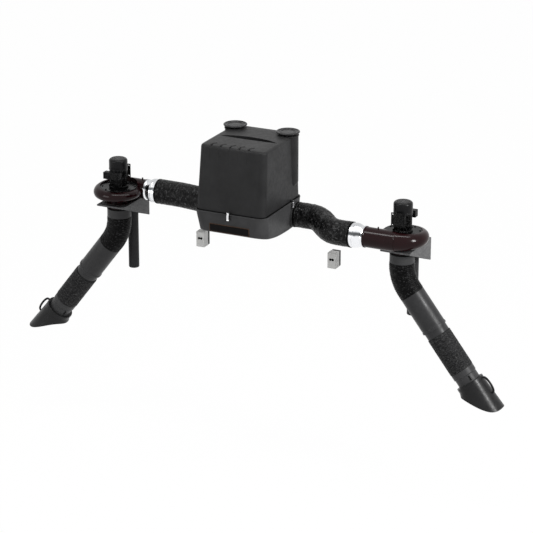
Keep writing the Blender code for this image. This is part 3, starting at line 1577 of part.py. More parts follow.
def build_switch(name, sign):
    """A start/stop box: cover, narrower back plate and two round buttons side by side."""
    centre_x = sign * switch_x
    front = -(switch_depth + switch_back_depth)
    place = (centre_x, front + switch_depth / 2, switch_z)
    body = box("switch_box_" + name, (switch_width, switch_depth, switch_height), switch_grey, None, place)
    round_edges(body, switch_edge_r, 1)
    back_size = (switch_width - 2 * switch_back_inset, switch_back_depth + switch_back_inset,
                 switch_height - 2 * switch_back_inset)
    fuse(body, box("switch_back", back_size, None, None,
                   (centre_x, -back_size[1] / 2, switch_z)))
    pocket = button_depth + button_travel + seat_gap
    for button, bx in (("start_button_", -1), ("stop_button_", 1)):
        x = centre_x + bx * button_spacing / 2
        z = switch_z + button_rise
        cut(body, cylinder("button_pocket", button_r + slide_gap, pocket + cut_overrun, None, None,
                           (x, front + (pocket - cut_overrun) / 2, z), (math.pi / 2, 0, 0),
                           small_round_steps))
        length = button_stand + button_depth
        cap = cylinder(button + name, button_r, length, button_black, None,
                       (x, front - button_stand + length / 2, z), (math.pi / 2, 0, 0), small_round_steps)
        smooth(cap)


def build_filter_unit():
    latch_frames = [add_empty(name + "_pivot", place, (0, 0, turn)) for name, place, turn in latch_places()]
    build_wall_frame()
    build_tub(latch_frames)
    build_panel()
    for name, sign in SIDES:
        build_inlet_collar(name, sign)
        build_cap(name, sign)
    build_filter()
    build_seal()
    build_lid(latch_frames)
    for (name, _, _), frame in zip(latch_places(), latch_frames):
        build_latch(name, frame)


def build_fan(name, fan, outlet_reach):
    build_fan_housing(name, fan, outlet_reach)
    build_motor_plate(name, fan)
    build_impeller(name, fan)
    build_motor(name, fan)
    build_cowl(name, fan)
    build_terminal_box(name, fan)
    build_reducer(name, fan, outlet_reach)


def build_arm(name, swivel, lever_turn):
    elbow = add_empty("elbow_axis_" + name, (0, 0, elbow_z), (0, -math.radians(elbow_angle), 0), swivel)
    neck_frame = add_empty("damper_axis_" + name, (0, 0, -damper_s), (0, 0, math.radians(lever_turn)),
                           elbow)
    build_swivel_collar(name, swivel)
    build_elbow_pin(name, swivel)
    path, length = elbow_path()
    lay_hose("upper_hose_" + name, path, length, False, swivel)
    build_outer_tube(name, elbow)
    build_telescope_rod(name, elbow)
    build_lower_hose(name, elbow)
    build_neck(name, elbow, neck_frame)
    build_damper(name, neck_frame)
    build_hood(name, elbow)


def build_side(name, sign, arm_x, outlet_reach, lever_turn):
    """One fan and arm. The left one is the right one turned half round about the arm's axis."""
    half_turn = math.pi if sign < 0 else 0
    fan = add_empty("fan_axis_" + name, (arm_x, arm_axis_y, 0), (0, 0, half_turn))
    build_bracket(name, arm_x)
    build_post(name, arm_x)
    build_fan(name, fan, outlet_reach)
    build_duct(name, sign, arm_x, outlet_reach)
    build_arm(name, fan, lever_turn)
    build_switch(name, sign)


build_filter_unit()
build_side("left", -1, left_arm_x, left_outlet_reach, left_lever_turn)
build_side("right", 1, right_arm_x, right_outlet_reach, right_lever_turn)
for part_object in part_collection.objects:
    if any(modifier.type == "BOOLEAN" for modifier in part_object.modifiers):
        merge_flats(part_object)
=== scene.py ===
"""Wall-mounted twin-arm fume extractor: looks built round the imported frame."""
from math import acos, atan2, cos, dist, hypot, pi, radians, sin, sqrt, tan, tau

import bmesh
import bpy
from mathutils import Matrix, Vector, noise


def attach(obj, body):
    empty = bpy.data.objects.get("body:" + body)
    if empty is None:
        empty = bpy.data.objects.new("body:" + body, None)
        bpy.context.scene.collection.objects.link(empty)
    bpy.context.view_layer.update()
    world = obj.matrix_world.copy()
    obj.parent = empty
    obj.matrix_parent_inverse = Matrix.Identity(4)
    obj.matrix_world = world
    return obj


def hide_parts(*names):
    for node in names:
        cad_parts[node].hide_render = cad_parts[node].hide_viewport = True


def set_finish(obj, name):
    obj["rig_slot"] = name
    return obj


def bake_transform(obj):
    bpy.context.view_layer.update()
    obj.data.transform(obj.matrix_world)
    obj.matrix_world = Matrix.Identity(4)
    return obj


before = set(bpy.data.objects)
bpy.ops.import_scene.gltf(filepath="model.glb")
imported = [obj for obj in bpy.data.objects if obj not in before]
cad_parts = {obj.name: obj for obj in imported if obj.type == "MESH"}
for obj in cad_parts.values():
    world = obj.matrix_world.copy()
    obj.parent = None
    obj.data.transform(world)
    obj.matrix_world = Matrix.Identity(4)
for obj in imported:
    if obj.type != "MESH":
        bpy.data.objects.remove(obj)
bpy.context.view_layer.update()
scene = bpy.context.scene

# Places shared with the solids
ARM_Y = -0.298
DECK_Z = -0.086
INLET_Y = -0.185
OUTLET_Y = 0.148
REDUCER = 0.11
COLLAR_FACE = 0.0036
ELBOW_Z = -0.356
TILT = radians(37.5)
DAMPER_AT = 0.978
GAP = 0.0003
BOTH = (-1, 1)
# A side's name and sign, its fan's X, the outlet's reach, and the turn of the damper's lever
SIDES = (("left", -1, -1.273, 0.19, 140), ("right", 1, 1.313, 0.258, -49))
# Steps round a turned piece
FINE = 72
MID = 48
SMALL = 24
TINY = 16


def turn(axis, degrees):
    return Matrix.Rotation(radians(degrees), 4, axis)


def at(x, y, z):
    return Matrix.Translation((x, y, z))


# A piece's own Z laid along X or Y
TO_X = turn("Y", 90)
TO_Y = turn("X", 90)


def spaced(base, count, first, *offset):
    """Places spread evenly about the base's Z, the first turned by some degrees."""
    return [base @ turn("Z", first + 360 / count * k) @ at(*offset) for k in range(count)]


# Materials
def fill(node, inputs):
    """Links the sockets and sets the plain values among a node's inputs."""
    for key, value in inputs.items():
        if isinstance(value, bpy.types.NodeSocket):
            node.id_data.links.new(value, node.inputs[key])
        else:
            node.inputs[key].default_value = value


def new_node(kind, inputs, tree=None, **settings):
    """A node's outputs. The tree is given or is that of the first input, a socket."""
    tree = tree or next(iter(inputs.values())).id_data
    node = tree.nodes.new("ShaderNode" + kind)
    for key, value in settings.items():
        setattr(node, key, value)
    fill(node, inputs)
    return node.outputs


def new_material(name):
    material = bpy.data.materials.new(name)
    material.use_nodes = True
    tree = material.node_tree
    return material, tree, tree.nodes["Principled BSDF"]


def coordinate(tree, kind):
    return new_node("TexCoord", {}, tree)[kind]


def split(vector):
    return new_node("SeparateXYZ", {0: vector})


def noisy(vector, scale, detail=2, roughness=0.5):
    inputs = {"Vector": vector, "Scale": scale, "Detail": detail, "Roughness": roughness}
    return new_node("TexNoise", inputs)["Fac"]


def ranged(value, low, high, out_low=0, out_high=1):
    inputs = {"Value": value, "From Min": low, "From Max": high, "To Min": out_low, "To Max": out_high}
    return new_node("MapRange", inputs)["Result"]


def maths(operation, a, b=0.5):
    return new_node("Math", {0: a, 1: b}, operation=operation)[0]


def product(a, b):
    return maths("MULTIPLY", a, b)


def mixed(factor, a, b):
    a, b = [(*c, 1) if isinstance(c, tuple) else c for c in (a, b)]
    return new_node("Mix", {"Factor": factor, 6: a, 7: b}, data_type="RGBA")[2]


def bumped(height, distance, strength=1, **below):
    inputs = {"Height": height, "Distance": distance, "Strength": strength, **below}
    return new_node("Bump", inputs)["Normal"]


def stretched(tree, scale):
    inputs = {"Vector": coordinate(tree, "UV"), "Scale": scale}
    return new_node("Mapping", inputs)["Vector"]


def plain(name, colour, rough, specular, grain, depth, dust=0, wear=0, coat=0, metal=0, spread=0.18,
        rough_spread=0.08):
    """Paint, plastic or metal: cloudy tone, grain, uneven gloss, dust and worn edges."""
    cloud = 7
    material, tree, shader = new_material(name)
    place = coordinate(tree, "Object")
    clouds = ranged(noisy(place, cloud, 4, 0.6), 0.3, 0.7)
    dark, light = [tuple(min(1, c * factor) for c in colour) for factor in (1 - spread, 1 + spread)]
    tone = mixed(clouds, dark, light)
    if dust:
        normal = new_node("NewGeometry", {}, tree)["Normal"]
        top = ranged(split(normal)["Z"], 0.3, 1, 0, dust)
        patches = ranged(noisy(place, 35, 5), 0.35, 0.7)
        tone = mixed(product(top, patches), tone, (0.2, 0.19, 0.18))
    if wear:
        edge = ranged(new_node("NewGeometry", {}, tree)["Pointiness"], 0.52, 0.6, 0, 0.6)
        patches = ranged(noisy(place, 90, 4), 0.45, 0.6)
        tone = mixed(product(edge, patches), tone, wear if isinstance(wear, tuple) else (wear,) * 3)
    gloss = noisy(place, cloud * 5, 3)
    gloss = ranged(gloss, 0.3, 0.7, rough - rough_spread, rough + rough_spread)
    fill(shader, {
        "Base Color": tone, "Metallic": metal, "Specular IOR Level": specular, "Roughness": gloss,
        "Normal": bumped(noisy(place, grain), depth), "Coat Weight": coat, "Coat Roughness": 0.12})
    return material


def spun(name, dark, light, rough):
    """Galvanised sheet: turned lines, and a painted reflection: a dark band across it at one height, dimmer
    above.
    """
    reflection_band_z = 0.04
    material, tree, shader = new_material(name)
    place = coordinate(tree, "Object")
    lines = noisy(stretched(tree, (6, 1400, 1)), 1, 3, 0.6)
    # Painted reflection: the base colour darkens to the dark colour in a band round one height, like a dark
    # horizon mirrored in the metal, and dims above it.
    wander = product(maths("SUBTRACT", noisy(place, 30), 0.5), 0.012)
    height = maths("ADD", split(place)["Z"], wander)
    away = maths("ABSOLUTE", maths("SUBTRACT", height, reflection_band_z))
    painted_upper_dimming = ranged(height, 0.06, 0.09, 1, 0.6)
    clear = product(ranged(away, 0.008, 0.02), painted_upper_dimming)
    fill(shader, {
        "Base Color": mixed(clear, dark, light), "Metallic": 1,
        "Roughness": ranged(lines, 0.3, 0.7, rough - 0.06, rough + 0.1),
        "Normal": bumped(lines, 0.00005)})
    return material


def coated_cloth(name, dark, light, rough, crinkle, glossy, cover, depth=0.0025, weave=0.0022):
    """Coated hose fabric: woven threads, creases, and painted highlights in the light colour along the
    crease ridges.
    """
    material, tree, shader = new_material(name)
    uv = coordinate(tree, "UV")
    warp, weft = [maths("SINE", product(split(uv)[axis], tau / weave)) for axis in "XY"]
    threads = product(warp, weft)
    folds = noisy(stretched(tree, (crinkle * 0.45, crinkle, 1)), 1, 3, 0.6)
    ridge = maths("ABSOLUTE", maths("SUBTRACT", folds, 0.5))
    # Painted highlights: thin lines of the light colour along the fold ridges, in patches, standing in for
    # glints off the creases.
    patches = ranged(noisy(uv, crinkle * 0.9, 4, 0.7), 0.62 - cover * 0.3, 0.66)
    painted_crease_highlights = product(ranged(ridge, 0, 0.06, 1, 0), patches)
    woven = bumped(threads, weave * 0.1, 0.5)
    fill(shader, {
        "Base Color": mixed(painted_crease_highlights, dark, light), "Specular IOR Level": glossy,
        "Roughness": ranged(folds, 0.3, 0.7, rough - 0.1, rough + 0.14),
        "Normal": bumped(folds, depth, Normal=woven)})
    return material


def paper(name):
    material, tree, shader = new_material(name)
    place = coordinate(tree, "Object")
    fibres = noisy(place, 420, 6, 0.75)
    clean = mixed(fibres, (0.6, 0.58, 0.5), (0.72, 0.7, 0.62))
    soot = ranged(noisy(place, 9, 4), 0.45, 0.75, 0, 0.5)
    fill(shader, {
        "Base Color": mixed(soot, clean, (0.22, 0.2, 0.18)), "Roughness": 0.92,
        "Normal": bumped(fibres, 0.0003)})
    return material


def mesh_metal(name):
    """Woven wire for the face of the spark trap."""
    pitch = 0.006
    material, tree, shader = new_material(name)
    place = split(coordinate(tree, "Object"))
    along, across = [maths("ABSOLUTE", maths("SINE", product(place[axis], pi / pitch))) for axis in "XY"]
    wire = maths("MAXIMUM", along, across)
    shine = ranged(wire, 0.55, 0.95)
    fill(shader, {
        "Base Color": mixed(shine, (0.07, 0.07, 0.07), (0.55, 0.55, 0.56)), "Metallic": 0.9,
        "Roughness": 0.38, "Normal": bumped(wire, 0.0015)})
    return material


# Plain ones: name, colour, roughness, specular, grain and its depth, dust, worn edges, coat
LOOKS = {
    "moulded_black": plain("charcoal_plastic", (0.0175, 0.0175, 0.018), 0.42, 0.08, 650, 0.00012, 0.04),
    "cap_black": plain("cap_plastic", (0.015, 0.015, 0.0155), 0.3, 0.14, 300, 0.00001),
    "moulded_grey": plain("dark_grey_plastic", (0.038, 0.038, 0.039), 0.42, 0.08, 650, 0.00012, 0.04),
    "panel_black": plain("panel_film", (0.005, 0.0045, 0.0045), 0.3, 0.05, 300, 0.00003),
    "panel_edge": plain("panel_border", (0.06, 0.032, 0.018), 0.4, 0.1, 300, 0.00003),
    "painted_steel": plain("grey_powder_coat", (0.064, 0.064, 0.066), 0.45, 0.12, 480, 0.00022, 0.04, 0.2),
    "post_paint": plain("dark_powder_coat", (0.024, 0.024, 0.025), 0.42, 0.1, 480, 0.00022, 0.04, 0.12),
    "black_steel": plain("black_enamel", (0.0018, 0.0018, 0.002), 0.22, 0.07, 380, 0.00016, 0.01, 0.05),
    "cowl_black": plain("cowl_enamel", (0.0075, 0.0075, 0.008), 0.28, 0.1, 420, 0.00014, 0.03, 0.06),
    "cast_maroon": plain("maroon_enamel", (0.0085, 0.0012, 0.0018), 0.2, 0.04, 160, 0.0003, 0.01,
        (0.05, 0.02, 0.02), 0.24),
    "tube_grey": plain("satin_grey_paint", (0.021, 0.021, 0.022), 0.38, 0.2, 300, 0.00002, 0.04, 0.12),
    "hood_grey": plain("hood_plastic", (0.01, 0.01, 0.0105), 0.32, 0.16, 300, 0.00002, 0.04),
    # A lighter copy of the tube paint: the key light's highlight on the swivel and neck cuffs, painted in.
    "cuff_grey_painted_lit": plain("cuff_paint_painted_lit", (0.032, 0.032, 0.033), 0.4, 0.16, 620, 0.00004, 0.04),
    # Each cloth's second colour is its painted crease highlight.
    "hose_black": coated_cloth("duct_cloth", (0.0012, 0.0012, 0.0013), (0.11, 0.11, 0.112), 0.3, 50, 0.1,
        0.45),
    "hose_arm": coated_cloth("elbow_cloth", (0.001, 0.001, 0.0011), (0.07, 0.07, 0.071), 0.36, 52, 0.06,
        0.35, 0.0022),
    # A lighter copy of the hose cloth: painted light on the lower hoses, which face up.
    "hose_painted_lit": coated_cloth("sleeve_cloth_painted_lit", (0.008, 0.008, 0.0083), (0.075, 0.075, 0.076), 0.55, 70, 0.08,
        0.75, 0.002, 0.0045),
    # The zinc's first colour is its painted dark reflection band.
    "bright_metal": spun("spun_zinc", (0.1, 0.105, 0.11), (0.9, 0.91, 0.93), 0.2),
    "latch_metal": plain("latch_chrome", (0.85, 0.85, 0.86), 0.16, 0.5, 300, 0.00003, metal=1,
        spread=0.06, rough_spread=0.05),
    "bare_steel": plain("plain_steel", (0.4, 0.4, 0.41), 0.34, 0.5, 260, 0.00008, metal=1, spread=0.14),
    "rubber": plain("foam_rubber", (0.002, 0.002, 0.002), 0.6, 0.04, 900, 0.0003),
    "filter_paper": paper("pleat_paper"),
    "mesh_metal": mesh_metal("wire_mesh"),
    "switch_grey": plain("switch_plastic", (0.56, 0.56, 0.55), 0.42, 0.2, 700, 0.00008, spread=0.05),
    "switch_side": plain("switch_shell", (0.018, 0.018, 0.018), 0.45, 0.15, 700, 0.0001, spread=0.08),
    "button_black": plain("button_plastic", (0.002, 0.002, 0.0022), 0.3, 0.05, 500, 0.00001),
}
SLOT_OF = {
    "cap_black": "moulded_black", "cuff_grey_painted_lit": "tube_grey", "panel_black": "moulded_black",
    "panel_edge": "moulded_black", "post_paint": "painted_steel", "cowl_black": "black_steel",
    "hose_arm": "hose_black", "hose_painted_lit": "hose_black", "latch_metal": "bright_metal",
    "mesh_metal": "bare_steel", "switch_side": "switch_grey"}


# Shape helpers
def mesh_object(name, bm, matrix=None):
    bmesh.ops.recalc_face_normals(bm, faces=bm.faces)
    mesh = bpy.data.meshes.new(name)
    bm.to_mesh(mesh)
    bm.free()
    if matrix is not None:
        mesh.transform(matrix)
    obj = bpy.data.objects.new(name, mesh)
    scene.collection.objects.link(obj)
    return obj


def polar(radius, i, count):
    """Point i of a circle cut into count parts."""
    angle = tau * i / count
    return radius * cos(angle), radius * sin(angle)


def quarter(steps):
    """Sine and cosine at even steps through a right angle."""
    return [(sin(pi / 2 * k / steps), cos(pi / 2 * k / steps)) for k in range(steps + 1)]


def rounded(profile, radius, steps=3, keep=()):
    """A closed outline with each corner turned into a small arc."""
    flattest = radians(80)
    result = []
    for i, point in enumerate(profile):
        here = Vector(point)
        before = Vector(profile[i - 1]) - here
        after = Vector(profile[(i + 1) % len(profile)]) - here
        sharp = i in keep or point[0] == 0 or min(before.length, after.length) < 1e-6
        half = 0 if sharp else acos(max(-1, min(1, before.normalized().dot(after.normalized())))) / 2
        if sharp or half > flattest:
            result.append(tuple(here))
            continue
        reach = min(radius / tan(half), before.length * 0.45, after.length * 0.45)
        start = here + before.normalized() * reach
        end = here + after.normalized() * reach
        for step in range(steps + 1):
            t = step / steps
            result.append(tuple(start * (1 - t) ** 2 + here * 2 * t * (1 - t) + end * t * t))
    return result


def lathe(name, profile, matrix, edge=0.0012, edge_steps=2, steps=FINE):
    """A closed outline of (radius, height) turned round Z, with UVs in metres."""
    points = rounded(profile, edge, edge_steps) if edge else list(profile)
    widest = max(r for r, _ in points)
    bm = bmesh.new()
    uv = bm.loops.layers.uv.new("UVMap")
    rings = []
    for radius, height in points:
        count = 1 if radius < 1e-7 else steps
        spots = [(0, 0)] if count == 1 else [polar(radius, i, steps) for i in range(steps)]
        rings.append([bm.verts.new((*spot, height)) for spot in spots])
    runs = [0]
    for a, b in zip(points, points[1:] + points[:1]):
        runs.append(runs[-1] + dist(a, b))
    for k, low in enumerate(rings):
        high = rings[(k + 1) % len(rings)]
        if len(low) == 1 and len(high) == 1:
            continue
        for i in range(steps):
            corners = []
            for ring, column, row in ((low, i, k), (low, i + 1, k), (high, i + 1, k + 1), (high, i, k + 1)):
                vert = ring[column % len(ring)]
                if all(vert is not corner[0] for corner in corners):
                    corners.append((vert, column, row))
            face = bm.faces.new([corner[0] for corner in corners])
            for loop, (_, column, row) in zip(face.loops, corners):
                loop[uv].uv = (column / steps * tau * widest, runs[row])
    return mesh_object(name, bm, matrix)


def pipe(name, inner, outer, low, high, matrix, *edge_and_steps):
    return lathe(name, [(inner, low), (outer, low), (outer, high), (inner, high)], matrix, *edge_and_steps)


def rod(name, radius, length, matrix, steps=MID, edge=0.0008):
    return pipe(name, 0, radius, -length / 2, length / 2, matrix, edge, 2, steps)


def drill(radius, length, matrix, steps=FINE):
    """A plain cylinder to cut or fill with."""
    return rod("drill", radius, length, matrix, steps, 0)


def loft(name, rings, matrix=None, closed=False):
    """A skin through rings of points; open ends are closed with strips."""
    count = len(rings[0])
    bm = bmesh.new()
    verts = [[bm.verts.new(p) for p in ring] for ring in rings]
    if closed:
        verts.append(verts[0])
    for low, high in zip(verts, verts[1:]):
        for i in range(count):
            j = (i + 1) % count
            bm.faces.new((low[i], low[j], high[j], high[i]))
    if not closed:
        for ends in (verts[0], verts[-1]):
            for i in range(count // 2 - 1):
                bm.faces.new((ends[i], ends[i + 1], ends[count - 2 - i], ends[count - 1 - i]))
    return mesh_object(name, bm, matrix)


def soften(bm, width, segments):
    """Bevels the sharp edges, where a width is given."""
    if not width:
        return
    edges = [e for e in bm.edges if len(e.link_faces) == 2 and e.calc_face_angle(0) > radians(28)]
    bmesh.ops.bevel(bm, geom=edges, offset=width, segments=segments, profile=0.5, affect="EDGES",
        clamp_overlap=True)


def block(name, size, matrix, edge=0.001, edge_steps=2):
    bm = bmesh.new()
    bmesh.ops.create_cube(bm, size=1, matrix=Matrix.Diagonal((*size, 1)))
    soften(bm, edge, edge_steps)
    return mesh_object(name, bm, matrix)


def prism(name, outline, thickness, matrix, edge=0.0008, edge_steps=2):
    """An outline in X and Y, given thickness about Z."""
    bm = bmesh.new()
    low, high = [[bm.verts.new((x, y, z)) for x, y in outline] for z in (-thickness / 2, thickness / 2)]
    bm.faces.new(low[::-1])
    bm.faces.new(high)
    for i in range(len(outline)):
        j = (i + 1) % len(outline)
        bm.faces.new((low[i], low[j], high[j], high[i]))
    bmesh.ops.recalc_face_normals(bm, faces=bm.faces)
    soften(bm, edge, edge_steps)
    return mesh_object(name, bm, matrix)


def distances(points):
    """How far along a path each of its points lies."""
    run = [0]
    for a, b in zip(points, points[1:]):
        run.append(run[-1] + (b - a).length)
    return run


def frames_along(points):
    """A pair of cross directions at each point of a path, without twist."""
    spread = [points[0], *points, points[-1]]
    tangents = [(b - a).normalized() for a, b in zip(spread, spread[2:])]
    first = Vector((0, 0, 1)) if abs(tangents[0].z) < 0.9 else Vector((1, 0, 0))
    side = (first - tangents[0] * first.dot(tangents[0])).normalized()
    result = []
    for tangent in tangents:
        side = (side - tangent * side.dot(tangent)).normalized()
        result.append((side, tangent.cross(side)))
    return result


def sweep(name, points, radius_at, sides, matrix=None, inner=None, scale_uv=None):
    """A tube along points. radius_at(ring, angle) gives its radius; inner makes it a pipe."""
    points = [Vector(p) for p in points]
    axes = frames_along(points)
    run = distances(points)
    around = scale_uv or tau * radius_at(0, 0)
    bm = bmesh.new()
    uv = bm.loops.layers.uv.new("UVMap")

    def ring(i, value):
        u, v = axes[i]
        made = []
        for k in range(sides):
            angle = tau * k / sides
            r = value(i, angle)
            made.append(bm.verts.new(points[i] + u * (r * cos(angle)) + v * (r * sin(angle))))
        return made

    def skin(rings, indices):
        for a, b, ia, ib in zip(rings, rings[1:], indices, indices[1:]):
            for k in range(sides):
                j = (k + 1) % sides
                face = bm.faces.new((a[k], a[j], b[j], b[k]))
                for loop, (column, row) in zip(face.loops, ((k, ia), (k + 1, ia), (k + 1, ib), (k, ib))):
                    loop[uv].uv = (column / sides * around, run[row])

    order = list(range(len(points)))
    outer = [ring(i, radius_at) for i in order]
    if inner is None:
        skin(outer, order)
        bm.faces.new(outer[0][::-1])
        bm.faces.new(outer[-1])
    else:
        inside_order = order[::-max(1, len(points) // 60)]
        if inside_order[-1] != 0:
            inside_order.append(0)
        inside = [ring(i, inner) for i in inside_order]
        skin(outer + inside + outer[:1], order + inside_order + [0])
    return mesh_object(name, bm, matrix)


def boolean(obj, others, operation="DIFFERENCE"):
    """Cuts or joins the other objects, which are used up."""
    others = others if isinstance(others, list) else [others]
    for other in others:
        modifier = obj.modifiers.new("step", "BOOLEAN")
        modifier.operation = operation
        modifier.solver = "MANIFOLD"
        modifier.object = other
    bpy.context.view_layer.update()
    evaluated = obj.evaluated_get(bpy.context.evaluated_depsgraph_get())
    mesh = bpy.data.meshes.new_from_object(evaluated)
    obj.modifiers.clear()
    obj.data = mesh
    for other in others:
        bpy.data.objects.remove(other, do_unlink=True)


def joined(obj, *others):
    """Puts closed pieces that touch into one object."""
    bm = bmesh.new()
    bm.from_mesh(obj.data)
    for other in others:
        bm.from_mesh(other.data)
        bpy.data.objects.remove(other, do_unlink=True)
    bm.to_mesh(obj.data)
    bm.free()


def place(obj, look, node=None, body="wall_unit", angle=32, weighted=True):
    """Material, shading, body and CAD node of a finished piece."""
    obj.data.materials.clear()
    obj.data.materials.append(LOOKS[look])
    obj.data.shade_smooth()
    obj.data.set_sharp_from_angle(angle=radians(angle))
    if weighted:
        obj.modifiers.new("even_normals", "WEIGHTED_NORMAL").keep_sharp = True
    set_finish(obj, SLOT_OF.get(look, look))
    if body:
        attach(obj, body)
    if node:
        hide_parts(node)


# Filter unit
CORNER_STEPS, SIDE_STEPS = 10, 14
TUB_HALF, TUB_FRONT, TUB_BACK, TUB_RIM = 0.322, -0.778, -0.045, 0.13
WALL_RUN, WALL_RISE = 0.017, 0.212
LID_LOW, LID_TOP = 0.1346, 0.664
LID_EDGE = 0.024
LID_WALL = 0.005
CROWN_INSET = 0.09
PAD_X = TUB_HALF + 0.006
LATCH_STAND = 0.0085
LATCH_Z = 0.083
SIDE_LATCH_Y = -0.268
COLUMN_X, COLUMN_Y = 0.2385, -0.17
COLUMN_TOP = LID_TOP + 0.004
COLUMN_FOOT = 0.274
COLUMN_NOSE = 0.06


def outline(half, front, back, front_r, back_r):
    """A rounded rectangle; point i faces point count - 1 - i across the middle."""
    def corner(radius, y, first):
        angles = [radians(90 * step / CORNER_STEPS + first) for step in range(CORNER_STEPS + 1)]
        return [(half - radius + radius * cos(angle), y + radius * sin(angle)) for angle in angles]

    straight = back - back_r - front - front_r
    side = [(half, front + front_r + straight * step / SIDE_STEPS) for step in range(1, SIDE_STEPS)]
    right = corner(front_r, front + front_r, -90) + side + corner(back_r, back - back_r, 0)
    return right + [(-x, y) for x, y in right[::-1]]


def level(shape, height):
    return [(x, y, height(y) if callable(height) else height) for x, y in outline(*shape)]


def tub_wall_y(z):
    return -0.758 - WALL_RUN * (z + 0.094) / WALL_RISE


def floor_z(y):
    """Level at the back and rising to the front wall, with a long soft bend between."""
    lowest, bend, slope = -0.112, 0.16, 0.307
    ahead = tub_wall_y(-0.046) + 0.215 - y
    return max(lowest, lowest - 0.008 + slope * (ahead + hypot(ahead, bend)) / 2)


def latch_frames():
    side = TUB_HALF + LATCH_STAND
    return [("front", at(0, TUB_FRONT - LATCH_STAND, LATCH_Z)),
        ("left", at(-side, SIDE_LATCH_Y, LATCH_Z) @ turn("Z", -90)),
        ("right", at(side, SIDE_LATCH_Y, LATCH_Z) @ turn("Z", 90))]


def tub_ring(height, front_in=0, back_in=0, front_r=0.066, back_r=0.08):
    return level((TUB_HALF - front_in, TUB_FRONT + front_in, TUB_BACK - back_in, front_r, back_r), height)


def make_tub():
    half, front, edge = TUB_HALF - 0.014, TUB_FRONT + 0.02, 0.018
    rings = []
    for up, along in quarter(6):
        inset, rise = edge * (1 - up), edge * (1 - along)
        rings.append(level((half - inset, front + inset, TUB_BACK - inset, 0.105 - inset, 0.08 - inset),
            lambda y, rise=rise: floor_z(y) + rise))
    low = rings[6]
    high = tub_ring(0.1176, 0.003)
    for share in (0.25, 0.5, 0.75):
        rings.append([tuple(Vector(a).lerp(Vector(b), share)) for a, b in zip(low, high)])
    rings += [high, tub_ring(0.1198, 0.0006), tub_ring(0.1215), tub_ring(0.1282),
        tub_ring(0.1296, 0.0006, 0.0006), tub_ring(TUB_RIM, 0.002, 0.002, 0.064, 0.078)]
    tub = loft("tub_shell", rings)
    inlets = [at(sign * (PAD_X - 0.025), INLET_Y, 0) @ TO_X for sign in BOTH]
    boolean(tub, [rod("pad", 0.108, 0.05, inlet, FINE, 0.002) for inlet in inlets], "UNION")
    cavity = loft("cavity", [
        level((half - edge, front + edge, TUB_BACK - edge, 0.082, 0.062), lambda y: floor_z(y) + 0.005),
        level((half - 0.005, front + 0.005, TUB_BACK - 0.005, 0.1, 0.075), lambda y: floor_z(y) + 0.023),
        tub_ring(0.125, 0.008, 0.005, 0.061, 0.075)])
    mouth = loft("mouth", [tub_ring(z, 0.04, 0.04, 0.046, 0.04) for z in (0.121, 0.134)])
    tilted = at(0, tub_wall_y(-0.004), -0.004) @ Matrix.Rotation(atan2(WALL_RUN, WALL_RISE), 4, "X")
    recess = block("recess", (0.3576, 0.0068, 0.0706), tilted @ at(0, -0.0006, 0), 0)
    boolean(tub, [cavity, mouth] + [drill(0.0875, 0.058, inlet) for inlet in inlets] + [recess])
    ear = rounded([(-0.006, -0.006), (0.024, -0.006), (0.024, 0.006), (-0.006, 0.006)], 0.0055, 5,
        keep=(1, 2))
    joined(tub, *[prism("ear", ear, 0.004, where @ at(sx * 0.0113, 0, 0) @ turn("Z", 90) @ TO_Y, 0.0005)
        for _, where in latch_frames() for sx in BOTH])
    place(tub, "moulded_grey", "base_tub")
    panel = block("front_panel", (0.3566, 0.0022, 0.0696), tilted @ at(0, 0.00165, 0), 0.0008)
    place(panel, "panel_edge", "base_panel")
    field = block("panel_field", (0.347, 0.0012, 0.06), tilted @ at(0, 0.0003, 0), 0.0004)
    place(field, "panel_black")
    for column, sx in zip("lr", BOTH):
        for row, sz in zip("lu", BOTH):
            screw = rod("panel_screw_" + column + row, 0.0034, 0.0022,
                tilted @ at(sx * 0.1675, -0.001, sz * 0.0245) @ TO_Y, TINY, 0.0006)
            place(screw, "black_steel")


def lid_shape(z, inset=0):
    share = (z - LID_LOW) / (LID_TOP - LID_LOW)
    corner = 0.056 - min(inset, 0.028)
    return (0.308 - 0.014 * share - inset, -0.764 + 0.052 * share + inset, -0.07 - 0.008 * share - inset,
        corner, corner)


def flute_points(x):
    """Up the front and over the lid's edge, where the end hooks to one side."""
    out, below, hook = 0.0026, 0.1, 0.036
    points = []
    for k in range(5):
        z = LID_TOP - below + (below - LID_EDGE) * k / 4
        points.append((x, lid_shape(z)[1] - out, z))
    for up, along in quarter(8)[1:]:
        z = LID_TOP - LID_EDGE * (1 - up)
        y = lid_shape(z)[1] + LID_EDGE * (1 - along)
        points.append((x, y - out * along, z + out * up))
    start = lid_shape(LID_TOP)[1] + LID_EDGE
    slope = 0.003 / (CROWN_INSET - LID_EDGE)
    for k in range(9):
        angle = radians(72) * k / 8
        y = start + 0.0225 + hook * sin(angle)
        points.append((x + hook * (1 - cos(angle)), y, LID_TOP + out + (y - start) * slope))
    return points


def lens(margin, steps=24):
    """The finger recess: a shallow arc in front, a deeper one behind."""
    left, right = -0.245 - 2 * margin, 0.264 + 2 * margin
    points = []
    for sign, sag in ((-1, 0.012), (1, 0.062)):
        for step in range(steps):
            share = step / steps
            x = left + (right - left) * (share if sign < 0 else 1 - share)
            points.append((x, -0.4323 + sign * (sag + margin) * sin(pi * share) ** 0.7))
    return points


